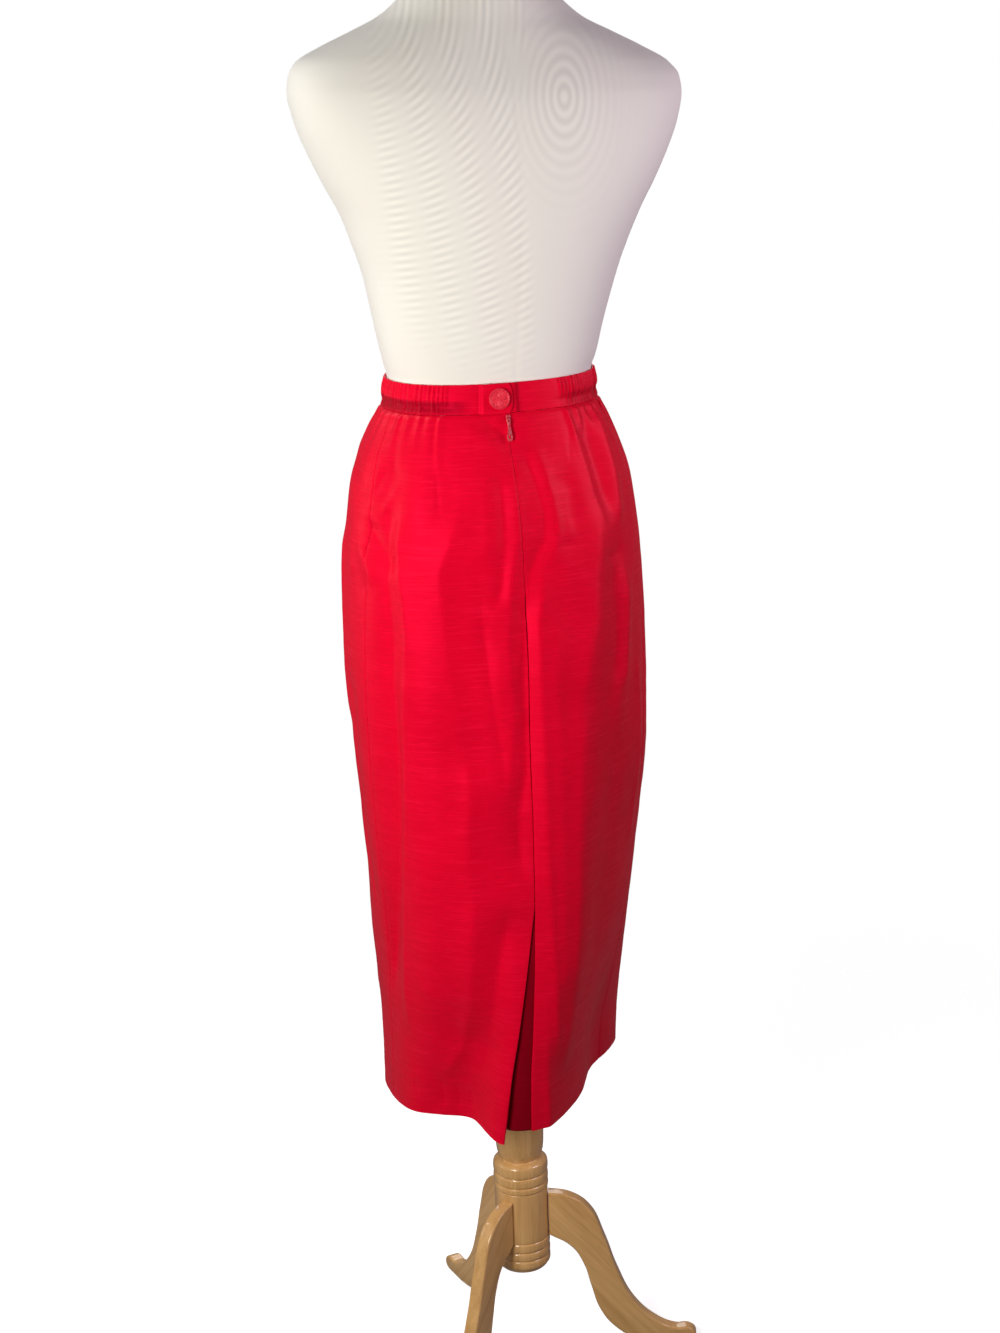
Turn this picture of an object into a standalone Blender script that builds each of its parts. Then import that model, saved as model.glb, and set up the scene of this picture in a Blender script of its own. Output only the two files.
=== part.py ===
"""A pencil skirt with an elasticated waistband, worn by a limbless dress form on a turned tripod stand.

Metres, +Z up. The skirt's back, with its zip, button and vent, faces -Y, and +X is to the right of
someone who looks at that back. The origin is on the floor, under the middle of the whole.
Angles are in degrees about the post, 0 at the back (-Y), positive toward +X.
"""

from bisect import bisect_right
from collections import namedtuple
from math import cos, degrees, exp, pi, radians, sin

import bmesh
import bpy
from mathutils import Matrix, Vector

# ---------------------------------------------------------------- driving dimensions

POST_X = -0.004  # where the post stands, seen from the middle of the whole
POST_Y = -0.0117

WAIST_TOP = 1.218  # top edge of the waistband above the floor
BAND_HEIGHT = 0.032
BAND_BOTTOM = WAIST_TOP - BAND_HEIGHT
HEM_HEIGHT = 0.380

BAND_WALL = 0.0016
SKIRT_WALL = 0.0015
SEAM_GAP = 0.0003  # between two pieces at a seam

SIDE_SEAM = 72.0  # angle of the side seams from the centre back, measured round the skirt
ELASTIC_START = 37.0  # the elastic runs from here, over the side seam ...
ELASTIC_END = 2 * SIDE_SEAM - ELASTIC_START  # ... and as far again past it

BAND_GATHERS = 20  # on each side
BAND_GATHER_LIFT = 0.0013
SKIRT_GATHERS = 10
SKIRT_GATHER_LIFT = 0.0024
GATHER_ONSET = 0.004  # below the band, over which the gathers fill out
GATHER_LENGTH = 0.030

TAB_END = 3.8  # the waistband's left end passes the centre back by this angle
TAB_ROUNDING = 2.4
TAB_RISE_START = -19.0  # left of this the tab lies level with the rest of the band
TAB_RISE_END = -15.5
TAB_LIFT = BAND_WALL + 0.0004
UNDERLAP_END = -12.5  # end of the waistband's right side, under the tab

VENT_TOP = 0.640
FLAP_SWING = -10.0  # angle that the vent's free edge has swung to at the hem
HEM_TILT = 0.010  # how much higher the hem is at the right side, and lower at the left
FLAP_DROOP = 0.013  # how far its corner hangs below the hem
FLAP_DROOP_START = -24.0
VENT_LAP_WIDTH = 15.0  # the underlap behind the vent, as an angle
VENT_LAP_TUCK = 1.3  # part of it behind the right panel's edge
VENT_LAP_RECESS = SKIRT_WALL + 0.0008
VENT_LAP_SLANT = 0.0135
VENT_LAP_TOP = VENT_TOP + 0.012

ZIP_HEIGHT = 1.1795  # the pull tab's hinge
ZIP_LENGTH = 0.180
ZIP_TAPE_WIDTH = 0.022
ZIP_TAPE_WALL = 0.0008
ZIP_TAPE_TOP = 1.172
ZIP_TAPE_RECESS = SKIRT_WALL + 0.0008

SLIDER_WIDTH = 0.0048
SLIDER_LENGTH = 0.0090
SLIDER_THICKNESS = 0.0016
SLIDER_LIFT = 0.0003
BAIL_RADIUS = 0.0016  # the bail is half a ring round the pull tab's top bar
BAIL_WIRE = 0.0009
PULL_LIFT = 0.0030  # of the hinge above the cloth
PULL_LENGTH = 0.0245
PULL_TOP_WIDTH = 0.0034
PULL_END_WIDTH = 0.0056
PULL_THICKNESS = 0.0010
PULL_SLOT_END = 0.0025
PULL_SLOT_WIDTH = 0.0016
PULL_REST_TILT = 3.5  # how far it leans in, so that its end lies near the cloth

BUTTON_ANGLE = -5.6
BUTTON_HEIGHT = 1.2015
BUTTON_RADIUS = 0.0115
BUTTON_THICKNESS = 0.0034
BUTTON_RIM = 0.0019
BUTTON_DISH = 0.0010
BUTTON_LIFT = 0.0003

TORSO_BOTTOM = 0.925
TORSO_SEGMENTS = 36

POST_TOP = TORSO_BOTTOM - 0.0003
POST_RADIUS = 0.0295
POST_SEGMENTS = 24
BEAD_RADIUS = 0.0334
GROOVE_RADIUS = 0.0316
SHAFT_RADIUS = 0.0324

LEG_COUNT = 3
LEG_FIRST_ANGLE = -48.0
LEG_THICKNESS = 0.017
LEG_EDGE_ROUNDING = 0.0022
LEG_ROOT = SHAFT_RADIUS + 0.0003

# ---------------------------------------------------------------- sections and folds

# One row for each level of the skirt and its waistband. centre is the ring's middle across; left, right,
# back and front are how far it reaches; the three rounds are how square each quarter is (2 is an
# ellipse, 1 a straight line from end to end); turn is the angle of the centre-back seam.
Ring = namedtuple("Ring", "height centre left right back front round_left round_right round_front turn")
SKIRT_RINGS = (
    Ring(0.365, -0.012, 0.1480, 0.1370, 0.1815, 0.1235, 2.30, 1.10, 2.2, -7.0),
    Ring(0.440, -0.012, 0.1470, 0.1410, 0.1765, 0.1240, 2.30, 1.18, 2.2, -6.3),
    Ring(0.500, -0.011, 0.1490, 0.1475, 0.1710, 0.1255, 2.30, 1.30, 2.2, -5.0),
    Ring(0.600, -0.010, 0.1545, 0.1570, 0.1620, 0.1275, 2.30, 1.50, 2.2, -3.0),
    Ring(0.700, -0.009, 0.1630, 0.1680, 0.1550, 0.1295, 2.30, 1.65, 2.2, -2.0),
    Ring(0.800, -0.008, 0.1695, 0.1755, 0.1480, 0.1310, 2.30, 1.85, 2.2, -1.5),
    Ring(0.900, -0.008, 0.1725, 0.1745, 0.1420, 0.1305, 2.30, 2.00, 2.2, -0.5),
    Ring(1.000, -0.008, 0.1705, 0.1710, 0.1340, 0.1240, 2.20, 2.10, 2.2, 0.2),
    Ring(1.080, -0.007, 0.1620, 0.1620, 0.1215, 0.1130, 2.20, 2.15, 2.2, -0.4),
    Ring(1.110, -0.007, 0.1565, 0.1560, 0.1150, 0.1080, 2.20, 2.20, 2.2, -0.8),
    Ring(1.140, -0.007, 0.1460, 0.1455, 0.1070, 0.1020, 2.20, 2.20, 2.2, -1.6),
    Ring(1.165, -0.006, 0.1330, 0.1330, 0.1000, 0.0970, 2.20, 2.20, 2.2, -2.6),
    Ring(1.186, -0.005, 0.1215, 0.1215, 0.0935, 0.0915, 2.20, 2.20, 2.2, -3.2),
    Ring(1.218, -0.004, 0.1165, 0.1165, 0.0885, 0.0885, 2.20, 2.20, 2.2, -3.5),
)

# One row for each large fold: its line runs from the first angle and height to the last, it stands out
# by lift (less than 0 is a trough) and is spread degrees wide to each side. It swells over rise below its
# top and dies away over fall above its foot; a fall of 0 carries it on through the hem.
Fold = namedtuple("Fold", "name angle height end_angle end_height lift spread rise fall")
FOLDS = (
    Fold("left hip hollow", -66, 1.176, -58, 1.030, -0.0038, 4.0, 0.040, 0.050),
    Fold("left hip pull", -92, 1.140, -73, 1.072, -0.0030, 4.5, 0.030, 0.030),
    Fold("left hip crossing", -60, 1.140, -71, 1.066, -0.0024, 3.5, 0.020, 0.030),
    Fold("left hip lower pull", -74, 1.078, -56, 1.012, -0.0028, 4.5, 0.020, 0.030),
    Fold("left hip swell", -50, 1.150, -47, 1.000, 0.0026, 5.0, 0.050, 0.060),
    Fold("left side trough", -57, 1.010, -66, 0.480, -0.0050, 6.0, 0.100, 0.120),
    Fold("left side ridge", -46, 1.020, -46, 0.440, 0.0036, 7.0, 0.120, 0.100),
    Fold("left back trough", -33, 1.060, -22, 0.560, -0.0056, 6.5, 0.120, 0.100),
    Fold("seat ridge", -6, 1.130, -18, 0.930, 0.0030, 5.5, 0.050, 0.060),
    Fold("left seat ridge", -17, 0.960, -11, 0.720, 0.0030, 5.0, 0.070, 0.080),
    Fold("right seat ridge", 13, 1.160, 15, 1.010, 0.0030, 5.0, 0.040, 0.070),
    Fold("right seat hollow", 28, 1.130, 23, 1.020, -0.0042, 4.5, 0.040, 0.060),
    Fold("right back ridge", 36, 1.030, 14, 0.470, 0.0044, 7.0, 0.120, 0.120),
    Fold("right hip ridge", 56, 1.182, 51, 1.030, 0.0036, 3.6, 0.020, 0.060),
    Fold("right hip trough", 45, 1.176, 41, 1.040, -0.0036, 4.0, 0.030, 0.050),
    Fold("right hip swell", 66, 1.160, 60, 1.090, 0.0024, 3.6, 0.030, 0.030),
    Fold("right side ridge", 54, 1.020, 41, 0.780, 0.0030, 4.5, 0.050, 0.090),
    Fold("right side hollow", 60, 0.620, 52, 0.360, -0.0115, 15.0, 0.200, 0.0),
    Fold("vent hollow", -27, 0.640, -35, 0.360, -0.0270, 10.5, 0.240, 0.0),
    Fold("vent flap", -9, 0.640, -16, 0.360, 0.0150, 6.5, 0.240, 0.0),
    Fold("hem dimple", -48, 0.470, -50, 0.360, -0.0035, 4.5, 0.080, 0.0),
    Fold("left front trough", -112, 1.060, -106, 0.560, -0.0048, 7.0, 0.120, 0.140),
    Fold("left front ridge", -131, 1.090, -126, 0.480, 0.0040, 7.5, 0.140, 0.100),
    Fold("front left hollow", -152, 1.020, -148, 0.400, -0.0036, 9.0, 0.160, 0.030),
    Fold("front right ridge", 170, 0.960, 165, 0.360, 0.0036, 9.0, 0.180, 0.0),
    Fold("right front trough", 139, 1.080, 134, 0.500, -0.0050, 8.0, 0.120, 0.140),
    Fold("right front ridge", 113, 1.100, 118, 0.560, 0.0040, 7.0, 0.120, 0.120),
)

# The dress form. Its waist lies just inside the waistband, and its hips hang clear inside the skirt.
Torso = namedtuple("Torso", "height centre half_width back front power")
TORSO_RINGS = (
    Torso(0.925, -0.004, 0.1490, 0.1060, 0.1030, 2.2),
    Torso(0.937, -0.004, 0.1560, 0.1130, 0.1100, 2.2),
    Torso(1.000, -0.004, 0.1580, 0.1160, 0.1110, 2.2),
    Torso(1.080, -0.004, 0.1500, 0.1080, 0.1040, 2.2),
    Torso(1.140, -0.004, 0.1350, 0.0985, 0.0950, 2.2),
    Torso(1.165, -0.005, 0.1250, 0.0930, 0.0905, 2.2),
    Torso(1.186, -0.005, 0.1184, 0.0904, 0.0884, 2.2),
    Torso(1.218, -0.004, 0.1144, 0.0864, 0.0864, 2.2),
    Torso(1.233, -0.003, 0.1188, 0.0885, 0.0890, 2.2),
    Torso(1.265, -0.002, 0.1262, 0.0920, 0.0945, 2.2),
    Torso(1.298, 0.000, 0.1340, 0.0950, 0.1010, 2.2),
    Torso(1.331, 0.002, 0.1425, 0.0990, 0.1080, 2.2),
    Torso(1.362, 0.003, 0.1535, 0.1030, 0.1140, 2.2),
    Torso(1.393, 0.004, 0.1660, 0.1060, 0.1170, 2.25),
    Torso(1.425, 0.004, 0.1830, 0.1070, 0.1140, 2.3),
    Torso(1.457, 0.004, 0.1980, 0.1060, 0.1080, 2.4),
    Torso(1.490, 0.004, 0.2105, 0.1020, 0.1000, 2.5),
    Torso(1.520, 0.004, 0.2165, 0.0950, 0.0890, 2.5),
    Torso(1.536, 0.004, 0.2148, 0.0890, 0.0820, 2.4),
    Torso(1.551, 0.002, 0.2050, 0.0830, 0.0760, 2.3),
    Torso(1.567, 0.001, 0.1770, 0.0770, 0.0700, 2.2),
    Torso(1.582, 0.001, 0.1450, 0.0720, 0.0650, 2.1),
    Torso(1.598, 0.000, 0.1120, 0.0670, 0.0610, 2.0),
    Torso(1.614, 0.000, 0.0915, 0.0630, 0.0580, 2.0),
    Torso(1.640, 0.000, 0.0680, 0.0570, 0.0550, 2.0),
    Torso(1.665, 0.000, 0.0600, 0.0550, 0.0540, 2.0),
    Torso(1.700, 0.000, 0.0570, 0.0540, 0.0530, 2.0),
)
NECK_TOP_ROUNDING = 0.006
SHOULDER_TILT = 0.034  # the left shoulder sits a little higher: the rise for each metre toward it
TILT_START = 1.26
TILT_FULL = 1.44

# The post above its beads: radius and height, from the top down.
POST_TAPER = ((POST_RADIUS, 0.300), (0.0292, 0.276), (0.0280, 0.2645), (0.0258, 0.2580), (0.0245, 0.2550))
POST_COVE = ((0.0262, 0.2540), (0.0300, 0.2528))
UPPER_BEADS = (0.2510, 0.2363, 0.2235, 0.2148)  # heights of the grooves and ends
LOWER_BEADS = (0.1487, 0.1364, 0.1252, 0.1140)
POST_FOOT = ((0.0290, 0.1095), (0.0225, 0.1065))

# A leg's outline from the root's top, along the upper edge to the toe, then back under it.
LegPoint = namedtuple("LegPoint", "reach height corner")
LEG_OUTLINE = (
    LegPoint(LEG_ROOT, 0.2060, True),
    LegPoint(0.0600, 0.2010, False),
    LegPoint(0.0830, 0.1840, False),
    LegPoint(0.1010, 0.1430, False),
    LegPoint(0.1155, 0.0990, False),
    LegPoint(0.1360, 0.0560, False),
    LegPoint(0.1620, 0.0300, False),
    LegPoint(0.1860, 0.0190, False),
    LegPoint(0.2020, 0.0190, False),
    LegPoint(0.2110, 0.0120, False),
    LegPoint(0.2100, 0.0040, False),
    LegPoint(0.2030, 0.0000, True),
    LegPoint(0.1640, 0.0000, True),
    LegPoint(0.1340, 0.0060, False),
    LegPoint(0.1100, 0.0220, False),
    LegPoint(0.0930, 0.0460, False),
    LegPoint(0.0830, 0.0780, False),
    LegPoint(0.0745, 0.1080, False),
    LegPoint(0.0600, 0.1320, False),
    LegPoint(LEG_ROOT, 0.1490, True),
)

# ---------------------------------------------------------------- curves through the tables


def slopes(heights, values):
    """Slopes of a smooth curve through the values that never overshoots them."""
    steps = [b - a for a, b in zip(heights, heights[1:])]
    rates = [(b - a) / step for a, b, step in zip(values, values[1:], steps)]
    inner = []
    for before, after, step, following in zip(rates, rates[1:], steps, steps[1:]):
        if before * after <= 0:
            inner.append(0.0)
            continue
        first, second = 2 * following + step, following + 2 * step
        inner.append((first + second) / (first / before + second / after))
    return [rates[0], *inner, rates[-1]]


def smooth_table(rows):
    """The rows' heights, with each column's values and slopes."""
    heights = [row.height for row in rows]
    columns = [(list(values), slopes(heights, values)) for values in zip(*rows)]
    return heights, columns


def row_at(table, row_type, height):
    """The table's row at any height, along the smooth curves."""
    heights, columns = table
    low = min(max(bisect_right(heights, height) - 1, 0), len(heights) - 2)
    step = heights[low + 1] - heights[low]
    t = min(max((height - heights[low]) / step, 0.0), 1.0)
    rise = t * t * (3 - 2 * t)
    out, back = t * (1 - t) ** 2 * step, t * t * (t - 1) * step
    found = [
        values[low] * (1 - rise) + values[low + 1] * rise + rate[low] * out + rate[low + 1] * back
        for values, rate in columns
    ]
    return row_type(*found)._replace(height=height)


SKIRT_TABLE = smooth_table(SKIRT_RINGS)
TORSO_TABLE = smooth_table(TORSO_RINGS)


def ease(t):
    """0 below 0, 1 above 1, and a smooth step between."""
    t = min(max(t, 0.0), 1.0)
    return t * t * (3 - 2 * t)


# ---------------------------------------------------------------- the skirt's surface


def gather_bounds(count):
    """Angles from one gather's valley to its crest to the next valley, along one side's elastic."""
    step = (ELASTIC_END - ELASTIC_START) / (2 * count)
    uneven = [0.24 * sin(1.9 * index) if index % count else 0.0 for index in range(2 * count + 1)]
    return [ELASTIC_START + step * (index + uneven[index]) for index in range(2 * count + 1)]


BAND_GATHER_BOUNDS = gather_bounds(BAND_GATHERS)
SKIRT_GATHER_BOUNDS = gather_bounds(SKIRT_GATHERS)


def gather_crest(bounds, angle):
    """How high the gathers stand at this angle from the centre back, from 0 to 1, and which one it is."""
    turned = abs((angle + 180) % 360 - 180)
    if not bounds[0] < turned < bounds[-1]:
        return 0.0, 0
    low = bisect_right(bounds, turned) - 1
    share = (turned - bounds[low]) / (bounds[low + 1] - bounds[low])
    crest = share if low % 2 == 0 else 1 - share
    return crest * (0.72 + 0.28 * sin(2.3 * low + angle / 90)), low // 2


def skirt_gather_lift(angle, drop):
    crest, which = gather_crest(SKIRT_GATHER_BOUNDS, angle)
    length = GATHER_LENGTH * (1 + 0.45 * sin(2.1 * which + 1))
    return SKIRT_GATHER_LIFT * crest * ease(drop / GATHER_ONSET) * exp(-((drop / length) ** 1.6))


def fold_lift(fold, angle, height):
    share = (fold.height - height) / (fold.height - fold.end_height)
    if share <= 0 or (fold.fall and share >= 1):
        return 0.0
    line = fold.angle + (fold.end_angle - fold.angle) * share
    away = (angle - line + 180) % 360 - 180
    swell = ease((fold.height - height) / fold.rise)
    if fold.fall:
        swell *= ease((height - fold.end_height) / fold.fall)
    return fold.lift * swell * exp(-0.5 * (away / fold.spread) ** 2)


def ring_reach(ring, angle):
    """How far a skirt ring reaches from its centre in the direction of the angle."""
    across, toward = sin(radians(angle)), cos(radians(angle))
    width = ring.left if across < 0 else ring.right
    depth = ring.back if toward > 0 else ring.front
    power = ring.round_front
    if toward > 0:
        power = ring.round_left if across < 0 else ring.round_right
    return (abs(across / width) ** power + abs(toward / depth) ** power) ** (-1 / power)


def place(centre, angle, reach, height):
    """The point at this reach and angle round the post."""
    across, toward = sin(radians(angle)), cos(radians(angle))
    return Vector((POST_X + centre + reach * across, POST_Y - reach * toward, height))


def skirt_point(cloth_angle, height, lift=0.0):
    """A point of the skirt's outer face. cloth_angle is measured from the centre-back seam."""
    ring = row_at(SKIRT_TABLE, Ring, height)
    angle = cloth_angle + ring.turn
    reach = ring_reach(ring, angle) + lift
    reach += sum(fold_lift(fold, angle, height) for fold in FOLDS)
    reach += skirt_gather_lift(cloth_angle, BAND_BOTTOM - height)
    return place(ring.centre, angle, reach, height)


def band_point(cloth_angle, height, lift=0.0):
    """A point of the waistband's outer face."""
    ring = row_at(SKIRT_TABLE, Ring, height)
    crest, _ = gather_crest(BAND_GATHER_BOUNDS, cloth_angle)
    share = (height - BAND_BOTTOM) / BAND_HEIGHT
    lift += BAND_GATHER_LIFT * crest * (0.25 + 0.75 * ease(share / 0.35))
    angle = cloth_angle + ring.turn
    return place(ring.centre, angle, ring_reach(ring, angle) + lift, height)


def seam_shift(height):
    """Half the gap at a seam, as an angle."""
    return degrees(SEAM_GAP / 2 / row_at(SKIRT_TABLE, Ring, height).back)


def flap_edge(height):
    """Angle of the left panel's edge: the centre back, and below the vent's top the swung flap's."""
    share = (VENT_TOP - height) / (VENT_TOP - HEM_HEIGHT)
    return FLAP_SWING * max(share, 0.0)


def hem_at(cloth_angle):
    """Height of the hem, which hangs a little lower at the left side than at the right."""
    return HEM_HEIGHT + HEM_TILT * sin(radians(cloth_angle)) ** 3


def flap_droop(cloth_angle):
    """How far the left panel's hem droops toward the flap's corner."""
    share = (cloth_angle - FLAP_DROOP_START) / (FLAP_SWING - FLAP_DROOP_START)
    return FLAP_DROOP * ease(share)


def hung_point(cloth_angle, height, droop=0.0):
    """A point of a panel, whose lower part follows the hem's line."""
    share = ease((VENT_TOP - height) / (VENT_TOP - HEM_HEIGHT))
    return skirt_point(cloth_angle, height + (hem_at(cloth_angle) - HEM_HEIGHT - droop) * share)


# ---------------------------------------------------------------- objects and materials


def clear_scene():
    for item in list(bpy.data.objects):
        bpy.data.objects.remove(item, do_unlink=True)


def new_collection(name):
    collection = bpy.data.collections.new(name)
    bpy.context.scene.collection.children.link(collection)
    return collection


def make_material(name, colour, roughness, metallic=0.0):
    material = bpy.data.materials.new(name)
    material.use_nodes = True
    shader = material.node_tree.nodes["Principled BSDF"]
    shader.inputs["Base Color"].default_value = (*colour, 1.0)
    shader.inputs["Roughness"].default_value = roughness
    shader.inputs["Metallic"].default_value = metallic
    material.diffuse_color = (*colour, 1.0)
    return material


def object_from_bmesh(name, mesh_data, material, collection, matrix=None):
    mesh = bpy.data.meshes.new(name)
    mesh_data.to_mesh(mesh)
    mesh_data.free()
    mesh.shade_smooth()
    mesh.set_sharp_from_angle(angle=radians(35))
    mesh.materials.append(material)
    made = bpy.data.objects.new(name, mesh)
    collection.objects.link(made)
    if matrix:
        made.matrix_world = matrix
    return made


def cloth_grid(name, rows, wall, material, collection):
    """An open cloth surface from rows of points, top row first and left to right, with its wall inward."""
    grid = bmesh.new()
    lines = [[grid.verts.new(point) for point in row] for row in rows]
    for upper, lower in zip(lines, lines[1:]):
        for corners in zip(upper, lower, lower[1:], upper[1:]):
            grid.faces.new(corners)
    made = object_from_bmesh(name, grid, material, collection)
    solidify = made.modifiers.new("wall", "SOLIDIFY")
    solidify.thickness = wall
    solidify.offset = -1
    solidify.use_even_offset = True
    solidify.use_quality_normals = True
    return made


def spread(start, end, count):
    """Evenly spread values from start to end, both included."""
    return [start + (end - start) * index / count for index in range(count + 1)]


# ---------------------------------------------------------------- the skirt

PLAIN_BACK_COLUMNS = 7  # between the centre back and the elastic
PLAIN_FRONT_COLUMNS = 10
TOP_DROPS = (0.0, 0.005, 0.013, 0.024, 0.038, 0.055, 0.075, 0.098)  # rows of points, below the band
LOWER_ROWS = 18


def back_columns(bounds, plain):
    """Angles from the centre back to the right side seam."""
    side = [angle for angle in bounds if angle <= SIDE_SEAM + 0.001]
    return spread(0.0, bounds[0], plain)[:-1] + side


def front_columns(bounds, plain):
    """Angles from the right side seam round the front to the left one."""
    side = [angle for angle in bounds if angle >= SIDE_SEAM - 0.001]
    across = spread(side[-1], 360 - side[-1], plain)[1:-1]
    return side + across + [360 - angle for angle in reversed(side)]


def row_heights():
    top = BAND_BOTTOM - SEAM_GAP
    upper = [top - drop for drop in TOP_DROPS]
    return upper + spread(upper[-1], HEM_HEIGHT, LOWER_ROWS)[1:]


def closed_at_seams(columns, height, left=True, right=True):
    """The columns' angles with the first and last drawn in by half a seam's gap."""
    angles = list(columns)
    shift = seam_shift(height)
    if left:
        angles[0] += shift
    if right:
        angles[-1] -= shift
    return angles


def skirt_back_left(material, collection):
    columns = [-angle for angle in reversed(back_columns(SKIRT_GATHER_BOUNDS, PLAIN_BACK_COLUMNS))]
    rows = []
    for height in row_heights():
        reached = (columns[0] - flap_edge(height)) / columns[0]
        angles = [columns[0] + (angle - columns[0]) * reached for angle in columns]
        angles = closed_at_seams(angles, height)
        rows.append([hung_point(a, height, flap_droop(a)) for a in angles])
    return cloth_grid("skirt_back_left", rows, SKIRT_WALL, material, collection)


def skirt_back_right(material, collection):
    columns = back_columns(SKIRT_GATHER_BOUNDS, PLAIN_BACK_COLUMNS)
    rows = [[hung_point(a, height) for a in closed_at_seams(columns, height)] for height in row_heights()]
    return cloth_grid("skirt_back_right", rows, SKIRT_WALL, material, collection)


def skirt_front(material, collection):
    columns = front_columns(SKIRT_GATHER_BOUNDS, PLAIN_FRONT_COLUMNS)
    rows = [[hung_point(a, height) for a in closed_at_seams(columns, height)] for height in row_heights()]
    return cloth_grid("skirt_front", rows, SKIRT_WALL, material, collection)


def vent_underlap(material, collection):
    """The strip behind the vent's opening, joined behind the right panel's edge."""
    rows = []
    for height in spread(VENT_LAP_TOP, HEM_HEIGHT, 8):
        opened = ease((VENT_TOP - height) / (VENT_TOP - HEM_HEIGHT))
        row = []
        for angle in spread(VENT_LAP_TUCK - VENT_LAP_WIDTH, VENT_LAP_TUCK, 5):
            away = max(-angle, 0.0) / (VENT_LAP_WIDTH - VENT_LAP_TUCK)
            row.append(skirt_point(angle, height, -VENT_LAP_RECESS - VENT_LAP_SLANT * away * opened))
        rows.append(row)
    return cloth_grid("skirt_vent_underlap", rows, SKIRT_WALL, material, collection)


# ---------------------------------------------------------------- the waistband

BAND_ROW_SHARES = (1.0, 0.72, 0.34, 0.0)
PLAIN_BAND_BACK_COLUMNS = 5
PLAIN_BAND_FRONT_COLUMNS = 16


def band_rows(columns_at, lift_at, left=True, right=True):
    rows = []
    for share in BAND_ROW_SHARES:
        height = BAND_BOTTOM + BAND_HEIGHT * share
        angles = closed_at_seams(columns_at(share), height, left, right)
        rows.append([band_point(angle, height, lift_at(angle)) for angle in angles])
    return rows


def tab_lift(angle):
    return TAB_LIFT * ease((angle - TAB_RISE_START) / (TAB_RISE_END - TAB_RISE_START))


def waistband_back_left(material, collection):
    """From the left side seam to the rounded tab that laps over the right side."""
    side = [-angle for angle in reversed(BAND_GATHER_BOUNDS) if angle <= SIDE_SEAM + 0.001]

    def columns(share):
        end = TAB_END - TAB_ROUNDING * abs(2 * share - 1) ** 3
        return side + [-27.0, TAB_RISE_START, -17.2, TAB_RISE_END, -9.0, -3.0, end]

    rows = band_rows(columns, tab_lift, right=False)
    return cloth_grid("waistband_back_left", rows, BAND_WALL, material, collection)


def waistband_back_right(material, collection):
    """From under the tab to the right side seam."""
    side = back_columns(BAND_GATHER_BOUNDS, PLAIN_BAND_BACK_COLUMNS)
    columns = [UNDERLAP_END, UNDERLAP_END / 2, *side]
    rows = band_rows(lambda share: columns, lambda angle: 0.0, left=False)
    return cloth_grid("waistband_back_right", rows, BAND_WALL, material, collection)


def waistband_front(material, collection):
    columns = front_columns(BAND_GATHER_BOUNDS, PLAIN_BAND_FRONT_COLUMNS)
    rows = band_rows(lambda share: columns, lambda angle: 0.0)
    return cloth_grid("waistband_front", rows, BAND_WALL, material, collection)


# ---------------------------------------------------------------- button and zip


def frame_on_cloth(point_at, cloth_angle, height, lift):
    """A matrix on the cloth: X across to the right, Y up the cloth, Z out of it."""
    here = point_at(cloth_angle, height)
    across = point_at(cloth_angle + 1.5, height) - point_at(cloth_angle - 1.5, height)
    up = point_at(cloth_angle, height + 0.004) - point_at(cloth_angle, height - 0.004)
    out = across.cross(up).normalized()
    up.normalize()
    across = up.cross(out)
    frame = Matrix((across, up, out)).transposed().to_4x4()
    return Matrix.Translation(here + out * lift) @ frame


def turned(name, profile, segments, material, collection, matrix=None):
    """A solid turned about Z from a profile of radius and height, top to bottom."""
    line = bmesh.new()
    points = [line.verts.new((radius, 0.0, height)) for radius, height in profile]
    for first, second in zip(points, points[1:]):
        line.edges.new((first, second))
    made = object_from_bmesh(name, line, material, collection, matrix)
    screw = made.modifiers.new("turn", "SCREW")
    screw.steps = segments
    screw.render_steps = segments
    screw.use_merge_vertices = True
    screw.merge_threshold = 0.00005
    screw.use_smooth_shade = True
    return made


def button_solid(material, collection):
    """A round button with a raised rim, a shallow dish and a low domed middle."""
    radius, top, dish = BUTTON_RADIUS, BUTTON_THICKNESS, BUTTON_THICKNESS - BUTTON_DISH
    inner = radius - BUTTON_RIM
    profile = (
        (0.0, dish + 0.0006),
        (inner * 0.28, dish + 0.0005),
        (inner * 0.45, dish),
        (inner * 0.92, dish),
        (inner, dish + 0.0004),
        (inner + 0.3 * BUTTON_RIM, top - 0.0001),
        (inner + 0.6 * BUTTON_RIM, top),
        (radius - 0.0002, top - 0.0006),
        (radius, top * 0.5),
        (radius * 0.86, 0.0004),
        (radius * 0.5, 0.0),
        (0.0, 0.0),
    )
    lift = TAB_LIFT + BUTTON_LIFT
    matrix = frame_on_cloth(band_point, BUTTON_ANGLE, BUTTON_HEIGHT, lift)
    return turned("waistband_button", profile, 28, material, collection, matrix)


def zip_tape(material, collection):
    rows = []
    for height in spread(ZIP_TAPE_TOP, ZIP_TAPE_TOP - ZIP_LENGTH, 9):
        half = degrees(ZIP_TAPE_WIDTH / 2 / row_at(SKIRT_TABLE, Ring, height).back)
        rows.append([skirt_point(a, height, -ZIP_TAPE_RECESS) for a in spread(-half, half, 4)])
    return cloth_grid("zip_tape", rows, ZIP_TAPE_WALL, material, collection)


def box(mesh_data, size, centre):
    """Adds a box of this size and centre."""
    matrix = Matrix.Translation(centre) @ Matrix.Diagonal((*size, 1.0))
    bmesh.ops.create_cube(mesh_data, size=1.0, matrix=matrix)


def round_edges(item, width, segments=1):
    bevel = item.modifiers.new("edges", "BEVEL")
    bevel.width = width
    bevel.segments = segments
    bevel.limit_method = "ANGLE"


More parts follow.
